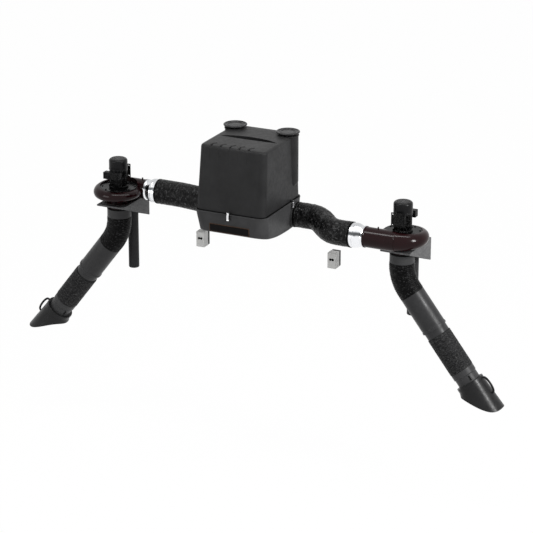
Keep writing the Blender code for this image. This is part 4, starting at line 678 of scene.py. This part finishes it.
def make_lid():
    flute_pitch, flute_start = 0.08316, -0.0277
    chamfer = 0.0016
    rings = [level(lid_shape(LID_LOW, chamfer), LID_LOW),
        level(lid_shape(LID_LOW + chamfer), LID_LOW + chamfer)]
    for share in (0.25, 0.5, 0.75):
        z = LID_LOW + (LID_TOP - LID_EDGE - LID_LOW) * share
        rings.append(level(lid_shape(z), z))
    for up, along in quarter(8):
        z = LID_TOP - LID_EDGE * (1 - up)
        rings.append(level(lid_shape(z, LID_EDGE * (1 - along)), z))
    for share in (0.35, 0.7, 1):
        z = LID_TOP + 0.003 * sin(share * pi / 2)
        rings.append(level(lid_shape(LID_TOP, LID_EDGE + (CROWN_INSET - LID_EDGE) * share), z))
    lid = loft("lid_shell", rings)
    foot = COLUMN_FOOT - COLUMN_NOSE
    nose = [(0.045 + 0.041 * up, COLUMN_FOOT - COLUMN_NOSE * (1 - k / 6) ** 1.15)
        for k, (up, _) in enumerate(quarter(6))]
    column = [(0, foot), *nose, (0.086, COLUMN_TOP - 0.012), (0.09, COLUMN_TOP - 0.008), (0.09, COLUMN_TOP),
        (0, COLUMN_TOP)]
    sides = [at(sign * COLUMN_X, COLUMN_Y, 0) for sign in BOTH]
    boolean(lid, [lathe("column", column, where, 0.0016, 3) for where in sides], "UNION")
    inside = lid_shape(LID_LOW, LID_WALL)
    boolean(lid, loft("cavity", [level(inside, LID_LOW - 0.004), level(inside, LID_LOW),
        level(lid_shape(0.64, LID_WALL), 0.64), level(lid_shape(0.659, LID_EDGE), 0.659)]))
    low, high = COLUMN_FOOT + LID_WALL, COLUMN_TOP + 0.004
    boolean(lid, [drill(0.081, high - low, where @ at(0, 0, (high + low) / 2)) for where in sides])
    boolean(lid, prism("under", lens(0.006), 0.0365, at(0, 0, 0.64325), 0), "UNION")
    boolean(lid, prism("pocket", lens(0), 0.041, at(0, 0, 0.6505), 0))
    boolean(lid, [sweep("flute", flute_points(flute_start + (i - 2) * flute_pitch),
        lambda ring, angle: 0.004 + 0.0062 * min(max((ring - 5) / 6, 0), 1), 18) for i in range(5)])
    keeper_z = LID_LOW + GAP - LATCH_Z + 0.006
    joined(lid, *[block("keeper", (0.018, 0.0252, 0.012), where @ at(0, 0.0144, keeper_z), 0.0012)
        for _, where in latch_frames()])
    place(lid, "moulded_black", "lid", "lid_set")


def make_latches():
    """A bent strap with turned-in edges on a rolled eye."""
    half, width = 0.0015, 0.018
    line = [(0, 0), (0, 0.05), (-0.002, 0.058), (-0.007, 0.0655)]
    bent = [(u + half, v) for u, v in line] + [(u - half, v) for u, v in line[::-1]]
    wing = rounded([(0.001, 0.004), (-0.0085, 0.009), (-0.0085, 0.042), (0.001, 0.05)], 0.002, 3)
    for side, where in latch_frames():
        strap = prism("latch_strap_" + side, bent, width, where @ turn("Z", 90) @ TO_Y, 0.0006)
        flanges = [prism("flange", wing, 0.0016,
            where @ at(sx * 0.0082, 0, 0) @ turn("Z", 90) @ TO_Y, 0.0004) for sx in BOTH]
        eye = rod("eye", 0.0055, width, where @ TO_X, SMALL, 0.0006)
        joined(strap, *flanges, eye, rod("pin", 0.003, 0.0266, where @ TO_X, SMALL, 0.0005))
        place(strap, "latch_metal", "latch_" + side, side + "_catch")


def make_caps():
    dish = [(0, 0.0155), (0.09, 0.0155), (0.095, 0.0166), (0.0976, 0.0194), (0.098, 0.022),
        (0.0974, 0.0246), (0.0955, 0.0268), (0.0915, 0.0284), (0.087, 0.0288), (0.083, 0.0278),
        (0.0795, 0.024), (0.07, 0.0228), (0.0665, 0.0252), (0.062, 0.0252), (0.058, 0.0206), (0.03, 0.0212),
        (0, 0.0224)]
    for name, sign, *_ in SIDES:
        where = at(sign * COLUMN_X, COLUMN_Y, COLUMN_TOP)
        disc = lathe("cap_" + name, dish, where, 0.0006)
        ribs = [block("rib", (0.078, 0.005, 0.034), spot, 0.0008)
            for spot in spaced(where, 5, 0, 0.0393, 0, -0.0007)]
        joined(disc, pipe("plug", 0.0757, 0.0807, -0.018, 0.002, where, 0.001), *ribs)
        place(disc, "cap_black", "outlet_cap_" + name, "lid_set")


# Fans
OUTLET_START = 0.012
DRUM_HALF = 0.038
CUTTER = 0.083
MOTOR_LOW, MOTOR_HEIGHT = 0.0466, 0.151
BOX_Z = 0.168


def volute(name, shrink, sides, matrix):
    """The scroll: its section and reach grow along the turn."""
    steps, section, growth, reach = 72, 0.032, 0.048, 0.185
    points, radii = [], []
    for step in range(steps + 1):
        share = step / steps
        here = section + growth * share * share
        radius = reach + (OUTLET_Y + 0.08 - reach) * share - here
        angle = radians(-120 - 330 * share)
        points.append((radius * cos(angle), radius * sin(angle), 0))
        radii.append(here - shrink)
    return sweep(name, points, lambda i, angle: radii[i], sides, matrix)


def hex_head(across, height, matrix):
    corners = [polar(across / sqrt(3), k, 6) for k in range(6)]
    return prism("head", corners, height, matrix @ at(0, 0, height / 2), 0.0008, 1)


def make_fan(name, fan, reach):
    length = reach + OUTLET_START
    along = fan @ at(OUTLET_START, -OUTLET_Y, 0) @ turn("Y", -90)
    drum = pipe("fan_casing_" + name, 0, 0.165, -DRUM_HALF, DRUM_HALF, fan, 0.006, 4)
    scroll = volute("volute", 0, 40, fan)
    boolean(scroll, lathe("outlet", [(0, 0), (0.083, 0), (0.083, length - 0.012), (0.0875, length - 0.008),
        (0.0875, length), (0, length)], along, 0.0015, 3), "UNION")
    boolean(scroll, drill(0.159, CUTTER, fan @ at(0, 0, 0.037 + CUTTER / 2)))
    neck = lathe("neck", [(0, -0.036), (0.09, -0.036), (0.09, -0.0797), (0.118, -0.0797), (0.118, -0.0857),
        (0.09, -0.0857), (0.09, -0.148), (0.0965, -0.148), (0.0965, -0.152), (0, -0.152)], fan)
    boolean(drum, [scroll, neck], "UNION")
    cavity = volute("cavity", 0.004, 32, fan)
    bore = length - 0.002
    middle = fan @ at(0.006 - bore / 2, -OUTLET_Y, 0)
    boolean(cavity, drill(0.079, bore, middle @ turn("Y", -90)), "UNION")
    skin = 0.033 + CUTTER / 2
    boolean(cavity, [drill(0.163, CUTTER, fan @ at(0, 0, skin)),
        drill(0.09, CUTTER, fan @ at(0, 0, -skin))])
    boolean(drum, [cavity, drill(0.161, 0.068, fan), drill(0.0865, 0.126, fan @ at(0, 0, -0.093)),
        drill(0.135, 0.008, fan @ at(0, 0, DRUM_HALF))])
    joined(drum, rod("port", 0.006, 0.02, fan @ at(-OUTLET_Y, -OUTLET_Y, 0.089), SMALL, 0.001),
        *[hex_head(0.012, 0.005, spot) for spot in spaced(fan, 4, 45, 0.105, 0, -0.0797)])
    place(drum, "cast_maroon", "fan_housing_" + name, angle=30)

    low, high = DRUM_HALF + GAP, 0.0463
    plate = lathe("motor_plate_disc_" + name, [(0.0125, low), (0.155, low), (0.155, high), (0.148, high),
        (0.0125, high)], fan, 0.0015, 3)
    bolts = [hex_head(0.013, 0.0065, spot) for spot in spaced(fan, 8, 22.5, 0.138, 0, high)]
    spots = spaced(fan, 8, 22.5, 0.138, 0, 0.047)
    joined(plate, *bolts, *[rod("washer", 0.01, 0.0016, spot, SMALL, 0.0004) for spot in spots])
    place(plate, "black_steel", "motor_plate_" + name)


def make_motor(name, fan):
    low, high, fins = MOTOR_LOW, MOTOR_LOW + MOTOR_HEIGHT, 36
    ribs = [polar(radius, i + offset, fins) for i in range(fins)
        for offset, radius in ((0, 0.066), (0.6, 0.066), (0.66, 0.074), (0.94, 0.074))]
    length = MOTOR_HEIGHT - 0.02
    motor = prism("motor_body_" + name, ribs, length, fan @ at(0, 0, low + 0.01 + length / 2), 0)
    flange = lathe("flange", [(0.0125, low + GAP), (0.082, low), (0.082, low + 0.01), (0.074, low + 0.016),
        (0.0125, low + 0.016)], fan, 0.002, 3, MID)
    ring = pipe("ring", 0, 0.0765, high - 0.014, high, fan, 0.002, 3, MID)
    foot = block("foot", (0.12, 0.008, 0.117), fan @ at(0, -0.1, 0.1625), 0.002, 3)
    boolean(foot, [drill(0.006, 0.016, fan @ at(sx * 0.046, -0.1, z) @ TO_Y, SMALL)
        for sx in BOTH for z in (0.118, 0.207)])
    webs = [block("web", (0.008, 0.068, 0.08), fan @ at(sx * 0.034, -0.064, 0.152), 0.002) for sx in BOTH]
    pad = block("pad", (0.06, 0.0445, 0.044), fan @ at(0, 0.05525, BOX_Z), 0.0015)
    spots = spaced(fan, 4, 45, 0.078, 0, low + 0.017)
    lugs = [block("lug", (0.016, 0.014, 0.01), spot, 0.0015) for spot in spots]
    bolts = [hex_head(0.01, 0.006, spot) for spot in spaced(fan, 4, 45, 0.08, 0, low + 0.021)]
    joined(motor, flange, ring, foot, *webs, pad, *lugs, *bolts)
    place(motor, "black_steel", "motor_" + name)

    start, radius, crown, wall = high + GAP, 0.078, 0.022, 0.002
    high = start + 0.095
    outer = [(0.066, start), (radius, start), (radius, start + 0.012), (0.0772, start + 0.0135),
        (radius, start + 0.015)]
    inner = [(0.066, start + wall), (radius - wall, start + wall)]
    for up, along in quarter(8):
        outer.append((radius - crown * (1 - along), high - crown * (1 - up)))
        inner.append((outer[-1][0] - wall * along, outer[-1][1] - wall * up))
    cowl = lathe("motor_hood_" + name, outer + [(0, high), (0, high - wall)] + inner[::-1], fan, 0)
    boolean(cowl, [block("slot", (0.005, long, 0.02), spot, 0.001, 1)
        for ring_r, count, long in ((0.02, 4, 0.02), (0.034, 8, 0.019), (0.048, 12, 0.018))
        for spot in spaced(fan, count, 180 / count, ring_r, 0, high)])
    joined(cowl, *[rod("screw", 0.004, 0.006, spot @ TO_X, 12, 0.001)
        for spot in spaced(fan, 3, 30, 0.0775, 0, start + 0.007)])
    place(cowl, "cowl_black", "motor_cowl_" + name)

    y, width, tall = 0.0778, 0.15, 0.06
    case = block("terminal_case_" + name, (width, 0.038, tall), fan @ at(0, y + 0.019, BOX_Z), 0.005, 3)
    joined(case, block("cover", (width, 0.013, tall), fan @ at(0, y + 0.0455, BOX_Z), 0.004, 3),
        *[rod("screw", 0.0035, 0.003, fan @ at(sx * 0.062, y + 0.0515, BOX_Z + sz * 0.019) @ TO_Y, 12,
            0.0008) for sx in BOTH for sz in BOTH])
    place(case, "black_steel", "terminal_box_" + name)


def make_reducer(name, fan, reach):
    outer = [(0.087, 0), (0.087, 0.006), (0.0886, 0.0075), (0.0886, 0.0105), (0.087, 0.012), (0.082, 0.02),
        (0.085, 0.026), (0.0975, 0.058), (0.1, 0.064), (0.1, 0.074), (0.1018, 0.077), (0.1018, 0.081),
        (0.1, 0.084), (0.1, REDUCER), (0.0905, REDUCER), (0.0905, 0.1303)]
    inner = [(0.0885, 0.1303), (0.0885, 0.108), (0.098, 0.108), (0.098, 0.062), (0.08, 0.02), (0.08, 0)]
    where = fan @ at(-reach - GAP, -OUTLET_Y, 0) @ turn("Y", -90)
    piece = lathe("reducer_" + name, outer + inner, where, 0.0016, 3)
    place(piece, "bright_metal", "outlet_reducer_" + name)


# Hoses
def hose(name, look, node, body, points, radius, pitch, seed, rib=0.0012, wrinkle=0.0022):
    """A cloth hose over a fine wire spiral: low ribs and uneven creases."""
    points = [Vector(p) for p in points]
    run = distances(points)
    lip, tuck, bore, widest = 0.008, 0.0012, 0.0986, 0.106

    def surface(i, angle):
        s = run[i]
        wave = cos(tau * (s / pitch - angle / tau + seed))
        spot = Vector((cos(angle) * 5.5 + seed * 13, sin(angle) * 5.5, s * 95))
        fold = noise.noise(spot) + 0.5 * noise.noise(spot * 2.3)
        r = radius + rib * wave * (0.6 + noise.noise(spot * 0.35)) + wrinkle * fold
        near = min(s, run[-1] - s, lip) / lip
        return min(radius - tuck + (r - radius + tuck) * near ** 0.5, widest)

    piece = sweep(name, points, surface, 120, None, lambda i, angle: bore, tau * radius)
    place(piece, look, node, body, 60, False)
    return piece


def resample(fine, step=0.0025):
    run = distances(fine)
    count = max(2, round(run[-1] / step))
    result, k = [], 1
    for i in range(count + 1):
        target = run[-1] * i / count
        while k < len(run) - 1 and run[k] < target:
            k += 1
        share = (target - run[k - 1]) / (run[k] - run[k - 1])
        result.append(fine[k - 1].lerp(fine[k], share))
    return result


def duct_ends(sign, arm_x, reach):
    """Both ends of a duct in X and Y: at the unit and at the fan."""
    return ((sign * (PAD_X + COLLAR_FACE), INLET_Y),
        (arm_x - sign * (reach + REDUCER + 2 * GAP), ARM_Y - sign * OUTLET_Y))


def duct_points(sign, arm_x, reach):
    """A level path, straight at both ends with a smooth S between."""
    straight, count = 0.16, 480
    (start_x, start_y), (end_x, end_y) = duct_ends(sign, arm_x, reach)
    fine = []
    for i in range(count + 1):
        share = i / count
        t = min(max((share - straight) / (1 - 2 * straight), 0), 1)
        ease = t * t * t * (t * (6 * t - 15) + 10)
        fine.append(Vector((start_x + (end_x - start_x) * share, start_y + (end_y - start_y) * ease, 0)))
    return resample(fine)


def elbow_points():
    bend_z = -0.216 - GAP - 0.022
    radius = (bend_z - ELBOW_Z) / tan(TILT / 2)
    points = [Vector((0, 0, -0.216 - GAP)), Vector((0, 0, bend_z))]
    for k in range(1, 61):
        angle = TILT * k / 60
        points.append(Vector((radius * (1 - cos(angle)), 0, bend_z - radius * sin(angle))))
    end = 0.156 - GAP
    points.append(Vector((end * sin(TILT), 0, ELBOW_Z - end * cos(TILT))))
    return resample(points)


# Arms
PIN_HOLE = 0.0063
STEM = 0.015


def hanger(name, half, near, far, centre, sign, thickness, matrix, y, edge):
    """A flat cross bar with a round-ended stem, bored for the elbow's pin."""
    eye = [(-STEM * cos(pi * k / 12), centre + sign * STEM * sin(pi * k / 12)) for k in range(13)]
    bar = [(STEM, near), (half, near), (half, far), (-half, far), (-half, near), (-STEM, near)]
    piece = prism(name, bar + eye, thickness, matrix @ at(0, y, 0) @ TO_Y, edge)
    boolean(piece, drill(PIN_HOLE, 0.02, matrix @ at(0, 0, centre) @ TO_Y, SMALL))
    return piece


def make_collar(name, fan):
    profile = [(0.1015, -0.136), (0.1015, -0.215), (0.1, -0.216), (0.0905, -0.216), (0.0905, -0.2363),
        (0.0885, -0.2363), (0.0885, -0.214), (0.0995, -0.214), (0.0995, -0.1477), (0.0903, -0.1477),
        (0.0903, -0.136)]
    collar = lathe("swivel_ring_" + name, profile, fan, 0.0014, 3)
    joined(collar, hanger("hanger", 0.0895, -0.233, -0.217, ELBOW_Z, -1, 0.006, fan, 0, 0.0008))
    seal = pipe("swivel_seal_" + name, 0.1008, 0.1026, -0.1363, -0.144, fan, 0.0005)
    place(seal, "rubber", None, "swivel_" + name)
    # The collar takes the lighter copy of the tube paint: painted highlight.
    place(collar, "cuff_grey_painted_lit", "swivel_collar_" + name, "swivel_" + name)


def make_tube(name, elbow):
    profile = [(0.1015, -0.156), (0.1025, -0.1572), (0.1025, -0.228), (0.1019, -0.2292), (0.1019, -0.2312),
        (0.1025, -0.2324), (0.1025, -0.462), (0.1068, -0.469), (0.1068, -0.485), (0.0965, -0.485),
        (0.0965, -0.54), (0.095, -0.545), (0.0905, -0.545), (0.0905, -0.5653), (0.0885, -0.5653),
        (0.0885, -0.483), (0.1005, -0.483), (0.1005, -0.192), (0.0885, -0.192), (0.0885, -0.156)]
    arm = lathe("arm_tube_" + name, profile, elbow, 0.0012, 3)
    forks = [hanger("fork", 0.1015, -0.191, -0.207, 0, 1, 0.004, elbow, sy * 0.0053, 0.0006) for sy in BOTH]
    sleeve = pipe("sleeve", 0.0135, 0.0165, -0.205, -0.66, elbow, 0.0008, 2, MID)
    seam = block("seam", (0.003, 0.012, 0.215), elbow @ turn("Z", 205) @ at(0.1014, 0, -0.345), 0.0012)
    joined(arm, *forks, sleeve, seam)
    place(arm, "tube_grey", "outer_tube_" + name, "arm_" + name)


def make_neck(name, elbow, damper):
    profile = [(0.0905, -0.8594), (0.0905, -0.88), (0.0985, -0.88), (0.1, -0.882), (0.1, -0.929),
        (0.0945, -0.936), (0.0945, -1.015), (0.104, -1.015), (0.104, -1.019), (0.0885, -1.019),
        (0.0885, -0.8594)]
    neck = lathe("hood_collar_" + name, profile, elbow, 0.0014, 3)
    boolean(neck, drill(0.0043, 0.21, damper @ TO_X, SMALL))
    boss = [(0.0138, -0.868), (0.0205, -0.868), (0.0205, -0.892), (0, -0.892), (0, -0.888),
        (0.0138, -0.888)]
    joined(neck, block("bar", (0.178, 0.004, 0.012), elbow @ at(0, 0, -0.874), 0.0008),
        lathe("boss", boss, elbow, 0.0008, 2, MID),
        pipe("gland", 0.0046, 0.0095, 0.0935, 0.0968, damper @ TO_X, 0.0005, 2, SMALL))
    # The neck takes the lighter copy of the tube paint: painted highlight.
    place(neck, "cuff_grey_painted_lit", "hood_neck_" + name, "telescope_" + name)


HOOD_STEPS = 96


def hood_ring(share, inset):
    """From the round neck to the slanting oval mouth."""
    neck_s, near_s, slant = 1.034, 1.065, 0.245
    points = []
    for i in range(HOOD_STEPS):
        angle = tau * i / HOOD_STEPS
        lean = (1 + cos(angle)) / 2
        mouth = near_s + slant * lean * lean * (3 - 2 * lean)
        x = 0.117 + 0.01 * share - inset
        y = 0.117 + 0.021 * share - inset
        points.append((x * cos(angle), y * sin(angle), -(neck_s + (mouth - neck_s) * share)))
    return points


def ring_at(radius, s):
    return [(*polar(radius, i, HOOD_STEPS), -s) for i in range(HOOD_STEPS)]


def make_hood(name, elbow):
    shares = [k / 16 for k in range(1, 17)]
    rings = [ring_at(radius, s) for radius, s in ((0.1171, 0.998), (0.1181, 0.9986), (0.1185, 0.9998),
        (0.1185, 1.031), (0.1182, 1.0325), (0.1174, 1.0338))]
    rings += [hood_ring(share, 0) for share in shares]
    rings.append([tuple(Vector(a).lerp(Vector(b), 0.5) + Vector((0, 0, -0.001)))
        for a, b in zip(hood_ring(1, 0.0006), hood_ring(1, 0.0024))])
    rings += [hood_ring(share, 0.003) for share in shares[::-1]]
    rings += [ring_at(0.114, 1.0147), ring_at(0.0949, 1.0147), ring_at(0.0949, 1.005)]
    hood = loft("hood_shell_" + name, rings, elbow, closed=True)
    middle, half, out, steps = 1.0925, 0.0725, 0.036, 32
    points = []
    for step in range(steps + 1):
        angle = pi * step / steps
        rise = sin(angle) ** 0.55 if 0 < step < steps else 0
        points.append((0.115 + out * rise, 0, -(middle - half * cos(angle))))
    grip = sweep("grip", points, lambda i, angle: 0.0078 + 0.0014 * cos(angle) ** 2, 24, elbow)
    root = ((0.112, 0.0125), (0.116, 0.012), (0.1195, 0.0095), (0.1215, 0.006))
    roots = [sweep("root", [(x, 0, -s) for x, _ in root], lambda i, angle: root[i][1], 24, elbow)
        for s in (1.024, 1.161)]
    joined(hood, grip, *roots, *[rod("rim_screw", 0.004, 0.004, spot @ TO_X, TINY)
        for spot in spaced(elbow, 3, 60, 0.1187, 0, -1.015)])
    place(hood, "hood_grey", "hood_" + name, "hood_set_" + name, 40)


def make_damper(name, damper):
    disc = pipe("flap_" + name, 0, 0.084, -0.001, 0.001, damper @ TO_Y, 0.0006)
    start, end, x = -0.1065, 0.1005, 0.0975
    lever = rounded([(x, -0.006), (x, 0.034), (x + 0.01, 0.034), (x + 0.01, 0.031), (x + 0.003, 0.031),
        (x + 0.003, -0.006)], 0.0012, 2)
    joined(disc, rod("shaft", 0.004, end - start, damper @ at((end + start) / 2, 0, 0) @ TO_X, SMALL,
        0.0006), prism("lever", lever, 0.01, damper @ TO_Y, 0.0006))
    place(disc, "black_steel", "damper_" + name, "flap_" + name)


def make_post(name, arm_x):
    top = DECK_Z - 0.006 - GAP
    profile = [(0, -0.751), (0.0365, -0.751), (0.0418, -0.7495), (0.045, -0.744), (0.045, top),
        (0.042, top), (0.042, -0.745), (0, -0.745)]
    place(lathe("post_" + name, profile, at(arm_x, -0.06, 0)), "post_paint", "support_post_" + name)


def make_switch(name, sign):
    button_x, button_z, hole_r = 0.0105, 0.01, 0.0083
    where = at(sign * 0.607, -0.106, -0.388)
    cover = block("switch_front_" + name, (0.076, 0.04, 0.135), where @ at(0, 0.02, 0), 0.0045, 4)
    case = block("switch_case_" + name, (0.0752, 0.0318, 0.1342), where @ at(0, 0.0561, 0), 0.002, 3)
    back = block("back", (0.072, 0.036, 0.131), where @ at(0, 0.088, 0), 0.002)
    boolean(cover, [drill(hole_r, 0.017, where @ at(bx * button_x, 0.0055, button_z) @ TO_Y, MID)
        for bx in BOTH])
    fronts = [where @ at(bx * button_x, 0, button_z) @ TO_Y for bx in BOTH]
    bezels = [pipe("bezel", hole_r, 0.0103, -0.0006, 0.0024, front, 0.0005, 2, MID) for front in fronts]
    joined(cover, case, *[rod("screw", 0.003, 0.0016, where @ at(0, -0.0004, sz * 0.055) @ TO_Y, TINY,
        0.0004) for sz in BOTH])
    place(cover, "switch_grey", "switch_box_" + name)
    place(back, "switch_side")
    back.name = "switch_back_" + name
    joined(*bezels)
    bezels[0].name = "button_rings_" + name
    place(bezels[0], "button_black")
    button = [(0, -0.006), (0.008, -0.006), (0.008, 0.0036), (0.0068, 0.0045), (0, 0.0041)]
    for word, front in zip(("start", "stop"), fronts):
        cap = lathe("%s_cap_%s" % (word, name), button, front, 0.0006, 2, MID)
        place(cap, "button_black", "%s_button_%s" % (word, name), "%s_%s" % (word, name))


def make_duct(side, sign, arm_x, reach):
    hose("duct_sleeve_" + side, "hose_black", "duct_hose_" + side, "wall_unit",
        duct_points(sign, arm_x, reach), 0.1036, 0.0135, 0.3 if sign < 0 else 0.8)
    for end, (x, y), inward in zip(("unit", "fan"), duct_ends(sign, arm_x, reach), (1, -1)):
        clamp = pipe("duct_clamp_%s_%s" % (end, side), 0.1015, 0.1052, 0, 0.013,
            at(x, y, 0) @ turn("Y", 90 * sign * inward), 0.001)
        place(clamp, "rubber")


def make_arm_hoses(side, sign, fan, elbow):
    """Two hoses: one round the elbow, from the swivel to the arm, and one along the arm, from the outer
    tube to the neck.
    """
    upper = hose("elbow_sleeve_" + side, "hose_arm", "upper_hose_" + side, None,
        [fan @ p for p in elbow_points()], 0.103, 0.014, 0.1 if sign < 0 else 0.6, 0.0013, 0.0016)
    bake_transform(upper)
    start, end, count = 0.545 + GAP, 0.88 - GAP, 132
    points = [elbow @ Vector((0, 0, -(start + (end - start) * k / count))) for k in range(count + 1)]
    # The lower hose takes the lighter copy of the cloth: painted light, since it faces up.
    lower = hose("arm_sleeve_" + side, "hose_painted_lit", "lower_hose_" + side, None, points, 0.1022, 0.021,
        0.2 if sign < 0 else 0.7, 0.0003, 0.001)
    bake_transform(lower)


make_tub()
make_lid()
make_latches()
make_caps()
for side, sign, arm_x, reach, lever in SIDES:
    fan = at(arm_x, ARM_Y, 0) @ turn("Z", 180 if sign < 0 else 0)
    elbow = fan @ at(0, 0, ELBOW_Z) @ Matrix.Rotation(-TILT, 4, "Y")
    damper = elbow @ at(0, 0, -DAMPER_AT) @ turn("Z", lever)
    make_fan(side, fan, reach)
    make_motor(side, fan)
    make_reducer(side, fan, reach)
    make_post(side, arm_x)
    make_switch(side, sign)
    make_collar(side, fan)
    make_tube(side, elbow)
    make_neck(side, elbow, damper)
    make_hood(side, elbow)
    make_damper(side, damper)
    make_duct(side, sign, arm_x, reach)
    make_arm_hoses(side, sign, fan, elbow)

# Nodes that keep their solid's shape: look, and the width of their softened edges
KEPT = {"wall_frame": ("painted_steel", 0.0008), "filter_tray": ("painted_steel", 0.0005),
    "prefilter": ("mesh_metal", 0.001), "filter_cartridge": ("filter_paper", 0.001),
    "lid_seal": ("rubber", 0.0008)}
for side, *_ in SIDES:
    KEPT["arm_bracket_" + side] = ("painted_steel", 0.0012)
    KEPT["inlet_collar_" + side] = ("black_steel", 0)
    for word in ("impeller_", "elbow_pin_", "telescope_rod_"):
        KEPT[word + side] = ("bare_steel", 0)
for node, (look, width) in KEPT.items():
    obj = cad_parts[node]
    obj.data.materials.clear()
    obj.data.materials.append(LOOKS[look])
    obj["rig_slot"] = SLOT_OF.get(look, look)
    obj.modifiers.new("weld", "WELD").merge_threshold = 0.00002
    if width:
        modifier = obj.modifiers.new("soft_edges", "BEVEL")
        modifier.width = width
        modifier.segments = 2


# Studio
def seen_white(tree, real, keep):
    """White where the camera or a reflection sees it, and real for other rays."""
    rays = new_node("LightPath", {}, tree)
    seen = maths("MAXIMUM", rays["Is Camera Ray"], rays["Is Glossy Ray"])
    seen = maths("MAXIMUM", seen, rays["Is Transmission Ray"])
    white = new_node("Emission", {"Color": (1, 1, 1, 1), "Strength": 1}, tree)[0]
    return new_node("MixShader", {0: product(seen, keep), 1: real, 2: white})[0]


bm = bmesh.new()
bmesh.ops.create_grid(bm, x_segments=2, y_segments=2, size=90)
floor = mesh_object("floor", bm, at(0, 0, -2.15))
material, tree, shader = new_material("floor_paint")
fill(shader, {"Base Color": (0.92, 0.92, 0.92, 1), "Roughness": 0.9})
fill(tree.nodes["Material Output"], {"Surface": seen_white(tree, shader.outputs[0], 0.985)})
floor.data.materials.append(material)

world = bpy.data.worlds.new("studio")
scene.world = world
world.use_nodes = True
tree = world.node_tree
tree.nodes.clear()
soft = new_node("Background", {"Color": (1, 1, 1, 1), "Strength": 0.26}, tree)[0]
new_node("OutputWorld", {"Surface": seen_white(tree, soft, 1)})

# Lamps: name, size, power, position, and the point they face
for name, size, power, position, target in (
        ("key", (3, 4.4), 1900, (13, -2.9, 5.8), (0, -0.3, -0.3)),
        ("top", (6, 0.9), 210, (0.5, -1, 5), (0, -0.3, 0)),
        ("fill", (4, 4), 190, (-5, -7, 1.5), (0, -0.3, -0.3))):
    data = bpy.data.lights.new(name, "AREA")
    data.shape = "RECTANGLE"
    data.size, data.size_y = size
    data.energy = power
    obj = bpy.data.objects.new(name, data)
    scene.collection.objects.link(obj)
    obj.location = position
    obj.rotation_euler = (Vector(target) - Vector(position)).to_track_quat("-Z", "Y").to_euler()

# Camera
FOCAL_PIXELS, PICTURE_PIXELS = 2426.461, 533
camera_data = bpy.data.cameras.new("view")
camera_data.sensor_width = 36.0
camera_data.lens = 36.0 * FOCAL_PIXELS / PICTURE_PIXELS
camera_data.clip_end = 500
camera = bpy.data.objects.new("view", camera_data)
scene.collection.objects.link(camera)
azimuth, elevation, distance = radians(25.9021), radians(20.1144), 19.9305
target = Vector((0.1322, -0.35, -0.4319))
back = Vector((sin(azimuth) * cos(elevation), -cos(azimuth) * cos(elevation), sin(elevation)))
right = Vector((cos(azimuth), sin(azimuth), 0))
rotation = Matrix((right, back.cross(right), back)).transposed().to_4x4()
camera.matrix_world = Matrix.Translation(target + back * distance) @ rotation
scene.camera = camera
scene.view_settings.view_transform = "Standard"
